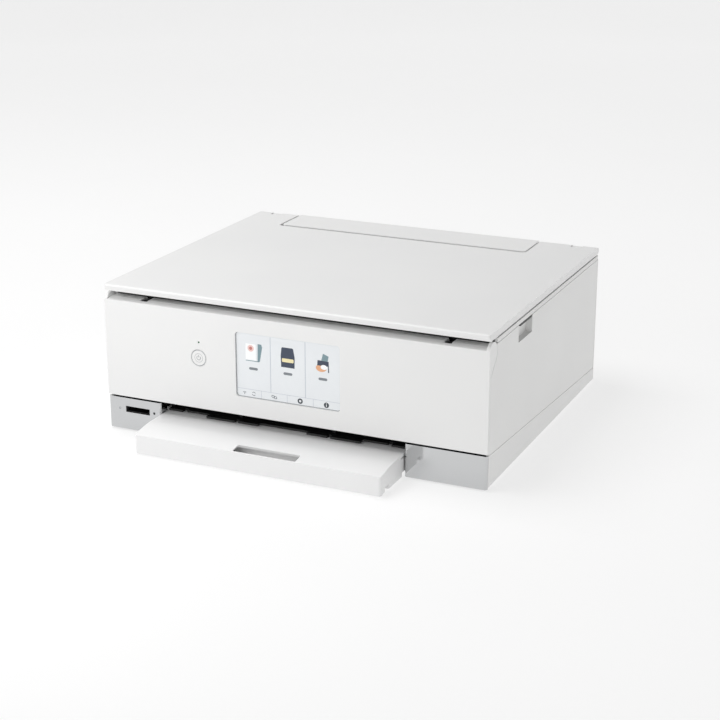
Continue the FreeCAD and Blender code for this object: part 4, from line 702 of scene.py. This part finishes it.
def lowered(centre, u, v, h):
    return Vector((centre[0] + u, centre[1] + v, centre[2] - h))


def rearward(centre, u, v, h):
    return Vector((centre[0] + u, centre[1] + h, centre[2] + v))


def islands(node):
    """The middle and size of each separate solid of a CAD node."""
    shape = bmesh.new()
    shape.from_mesh(NODES[node].data)
    bmesh.ops.remove_doubles(shape, verts=shape.verts, dist=1e-6)
    left = set(shape.verts)
    found = []
    while left:
        stack = [left.pop()]
        group = []
        while stack:
            vertex = stack.pop()
            group.append(vertex.co.copy())
            for edge in vertex.link_edges:
                other = edge.other_vert(vertex)
                if other in left:
                    left.remove(other)
                    stack.append(other)
        low = Vector((min(c.x for c in group), min(c.y for c in group), min(c.z for c in group)))
        high = Vector((max(c.x for c in group), max(c.y for c in group), max(c.z for c in group)))
        found.append((low, high))
    shape.free()
    return found


def case_screws():
    def build(shape):
        for low, high in islands("screws"):
            middle = (low + high) / 2
            radius = (high.x - low.x) / 2
            if high.z - low.z < high.x - low.x - 0.5 * MM:
                crossed_head(shape, (middle.x, middle.y, high.z), radius, high.z - low.z, lowered)
            else:
                crossed_head(shape, (middle.x, low.y, middle.z), radius, high.y - low.y, rearward)
    made = piece("case_screws", "case", build, STEEL)
    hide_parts("screws")


def star_wheel_blades():
    """Thin steel wheels with sharp points, each on its small axle."""
    teeth = 14

    def build(shape):
        for low, high in islands("star_wheels"):
            middle = (low + high) / 2
            radius = (high.z - low.z) / 2
            outline = []
            for i in range(teeth * 2):
                r = radius if i % 2 == 0 else radius * 0.78
                a = math.pi * i / teeth
                outline.append((r * math.cos(a), r * math.sin(a)))

            def across(u, v, level, at=middle):
                return Vector((at.x + level, at.y + u, at.z + v))
            slab(shape, outline, -0.25 * MM, 0.25 * MM, across)
            slab(shape, disc(0, 0, 1.8 * MM, 24), -0.9 * MM, 0.9 * MM, across)
            slab(shape, disc(0, 0, 0.8 * MM, 16), low.x - middle.x, high.x - middle.x, across)
    made = piece("star_wheel_blades", "stars", build, STEEL)
    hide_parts("star_wheels")


TANK_COLOURS = ("#2b2b2e", "#2b2b2e", "#27a3c9", "#c93a7c", "#e6cf3a", "#7d8287")


def tank_labels():
    """Coloured label plates and finger tabs on the ink tanks."""
    tanks = sorted(islands("ink_tanks"), key=lambda ends: ends[0].x)
    for number, (low, high) in enumerate(tanks):
        ink = printed_ink(f"tank_label_{number}", TANK_COLOURS[number % len(TANK_COLOURS)])

        def build(shape, low=low, high=high):
            x0, x1 = low.x + 1.2 * MM, high.x - 1.2 * MM
            top = oblong(x0, low.y + 20 * MM, x1, high.y - 8 * MM, 1.0 * MM)
            slab(shape, top, high.z - 0.1 * MM, high.z + 0.15 * MM, facing_up)
            front = oblong(x0, low.z + 6 * MM, x1, high.z - 6 * MM, 0.8 * MM)
            slab(shape, front, low.y - 0.12 * MM, low.y + 0.1 * MM)
        piece(f"tank_label_{number}", "carriage", build, ink)

    def tabs(shape):
        for low, high in tanks:
            tab = oblong(low.x + 1.6 * MM, low.y + 2 * MM, high.x - 1.6 * MM, low.y + 14 * MM, 1.2 * MM)
            slab(shape, tab, high.z - 0.1 * MM, high.z + 1.6 * MM, facing_up)
            for step in range(4):
                y = low.y + (4 + 2.2 * step) * MM
                rib = oblong(low.x + 2.4 * MM, y, high.x - 2.4 * MM, y + 1.0 * MM, 0.4 * MM)
                slab(shape, rib, high.z + 1.5 * MM, high.z + 2.0 * MM, facing_up)
    piece("tank_tabs", "carriage", tabs, DARK)


def inlet_pins():
    """The two contact pins in the power socket."""
    low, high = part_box("power_inlet")
    cx, cz = (low.x + high.x) / 2, (low.z + high.z) / 2

    def build(shape):
        for side in (-1, 1):
            x = cx + side * 4.3 * MM
            slab(shape, disc(x, cz, 1.28 * MM, 24), high.y - 14.8 * MM, high.y - 4.0 * MM)
            slab(shape, disc(x, cz, 0.9 * MM, 24), high.y - 4.1 * MM, high.y - 3.2 * MM)
    piece("inlet_pins", "case", build, STEEL)


def scan_bar_strips():
    """The clear light guide and the lens row along the top of the scan bar."""
    low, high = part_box("scan_carriage")

    def build_guide(shape):
        strip = oblong(low.x + 3 * MM, low.y + 4 * MM, low.x + 5.5 * MM, high.y - 4 * MM, 0.8 * MM)
        slab(shape, strip, high.z - 0.1 * MM, high.z + 0.35 * MM, facing_up)
    piece("scan_light_guide", "scan_bar", build_guide, SIGN_WHITE)

    def build_lens(shape):
        strip = oblong(low.x + 7.5 * MM, low.y + 4 * MM, low.x + 8.7 * MM, high.y - 4 * MM, 0.4 * MM)
        slab(shape, strip, high.z - 0.1 * MM, high.z + 0.25 * MM, facing_up)
    piece("scan_lens_row", "scan_bar", build_lens, SIGN_DARK)


def motor_ends():
    """The round boss that each motor shaft comes out of."""
    def build(shape):
        for low, high in islands("drive_motors"):
            middle = (low + high) / 2
            length, depth, height = high - low
            along_x = length < depth + 20 * MM and abs(depth - height) < 1 * MM
            if along_x:
                def across(u, v, level, at=middle):
                    return Vector((level, at.y + u, at.z + v))
                slab(shape, disc(0, 0, 4 * MM, 32), high.x, high.x + 1.5 * MM, across)
            else:
                def across(u, v, level, at=middle):
                    return Vector((at.x + u, level, at.z + v))
                slab(shape, disc(0, 0, 4 * MM, 32), high.y, high.y + 1.5 * MM, across)
    piece("motor_bosses", "case", build, STEEL)


# ---------------------------------------------------------------- stage, light and camera

def studio():
    """A round sweep of seamless paper: flat in the middle, rising at its rim."""
    flat, bend, rise, turns = 2.6, 0.9, 2.6, 64
    profile = [(0.4, 0.0), (flat, 0.0)]
    for i in range(1, 13):
        a = math.pi / 2 * i / 12
        profile.append((flat + bend * math.sin(a), bend - bend * math.cos(a)))
    profile.append((flat + bend, rise))
    floor = bmesh.new()
    sunk = 0.2 * MM
    middle = floor.verts.new((0, 0, -sunk))
    rings = []
    for r, z in profile:
        angles = [2 * math.pi * i / turns for i in range(turns)]
        rings.append([floor.verts.new((r * math.cos(a), r * math.sin(a), z - sunk)) for a in angles])
    for i in range(turns):
        j = (i + 1) % turns
        floor.faces.new((middle, rings[0][i], rings[0][j]))
        for inner, outer in zip(rings, rings[1:]):
            floor.faces.new((inner[i], outer[i], outer[j], inner[j]))
    mesh = bpy.data.meshes.new("studio_floor")
    floor.to_mesh(mesh)
    floor.free()
    stage = bpy.data.objects.new("studio_floor", mesh)
    bpy.context.scene.collection.objects.link(stage)
    mesh.materials.append(studio_paper())
    for face in mesh.polygons:
        face.use_smooth = True


def lamp(name, place, target, power, size, size_y=None):
    data = bpy.data.lights.new(name, "AREA")
    data.energy = power
    data.size = size
    if size_y:
        data.shape = "RECTANGLE"
        data.size_y = size_y
    made = bpy.data.objects.new(name, data)
    bpy.context.scene.collection.objects.link(made)
    made.location = place
    made.rotation_mode = "QUATERNION"
    made.rotation_quaternion = (Vector(target) - Vector(place)).to_track_quat("-Z", "Y")
    return made


def light_the_scene():
    world = bpy.data.worlds.new("studio")
    world.use_nodes = True
    bpy.context.scene.world = world
    world.node_tree.nodes["Background"].inputs["Color"].default_value = (1, 1, 1, 1)
    world.node_tree.nodes["Background"].inputs["Strength"].default_value = 0.1
    lamp("overhead", (-0.7, -0.1, 1.7), (-0.1, 0, 0), 20, 1.2)
    lamp("front", (-0.2, -0.5, 0.34), (-0.06, -0.13, 0.08), 0.62, 0.3)
    bpy.context.scene.view_settings.view_transform = "Standard"


def set_camera():
    data = bpy.data.cameras.new("view")
    data.sensor_width = 36.0
    data.lens = 82.5
    data.shift_x = -0.0014
    data.shift_y = -0.0349
    data.clip_start = 0.05
    camera = bpy.data.objects.new("view", data)
    bpy.context.scene.collection.objects.link(camera)
    camera.location = (0.6178, -1.3520, 0.5524)
    camera.rotation_mode = "QUATERNION"
    camera.rotation_quaternion = (Vector((0, 0.017, 0.0695)) - camera.location).to_track_quat("-Z", "Y")
    bpy.context.scene.camera = camera


paint_nodes()
soften_edges()
power_sign()
touch_screen_signs()
screen_frame()
card_mark()
painted_gap_shade()
grip_painted_shadows()
case_screws()
star_wheel_blades()
tank_labels()
inlet_pins()
scan_bar_strips()
motor_ends()
studio()
light_the_scene()
set_camera()
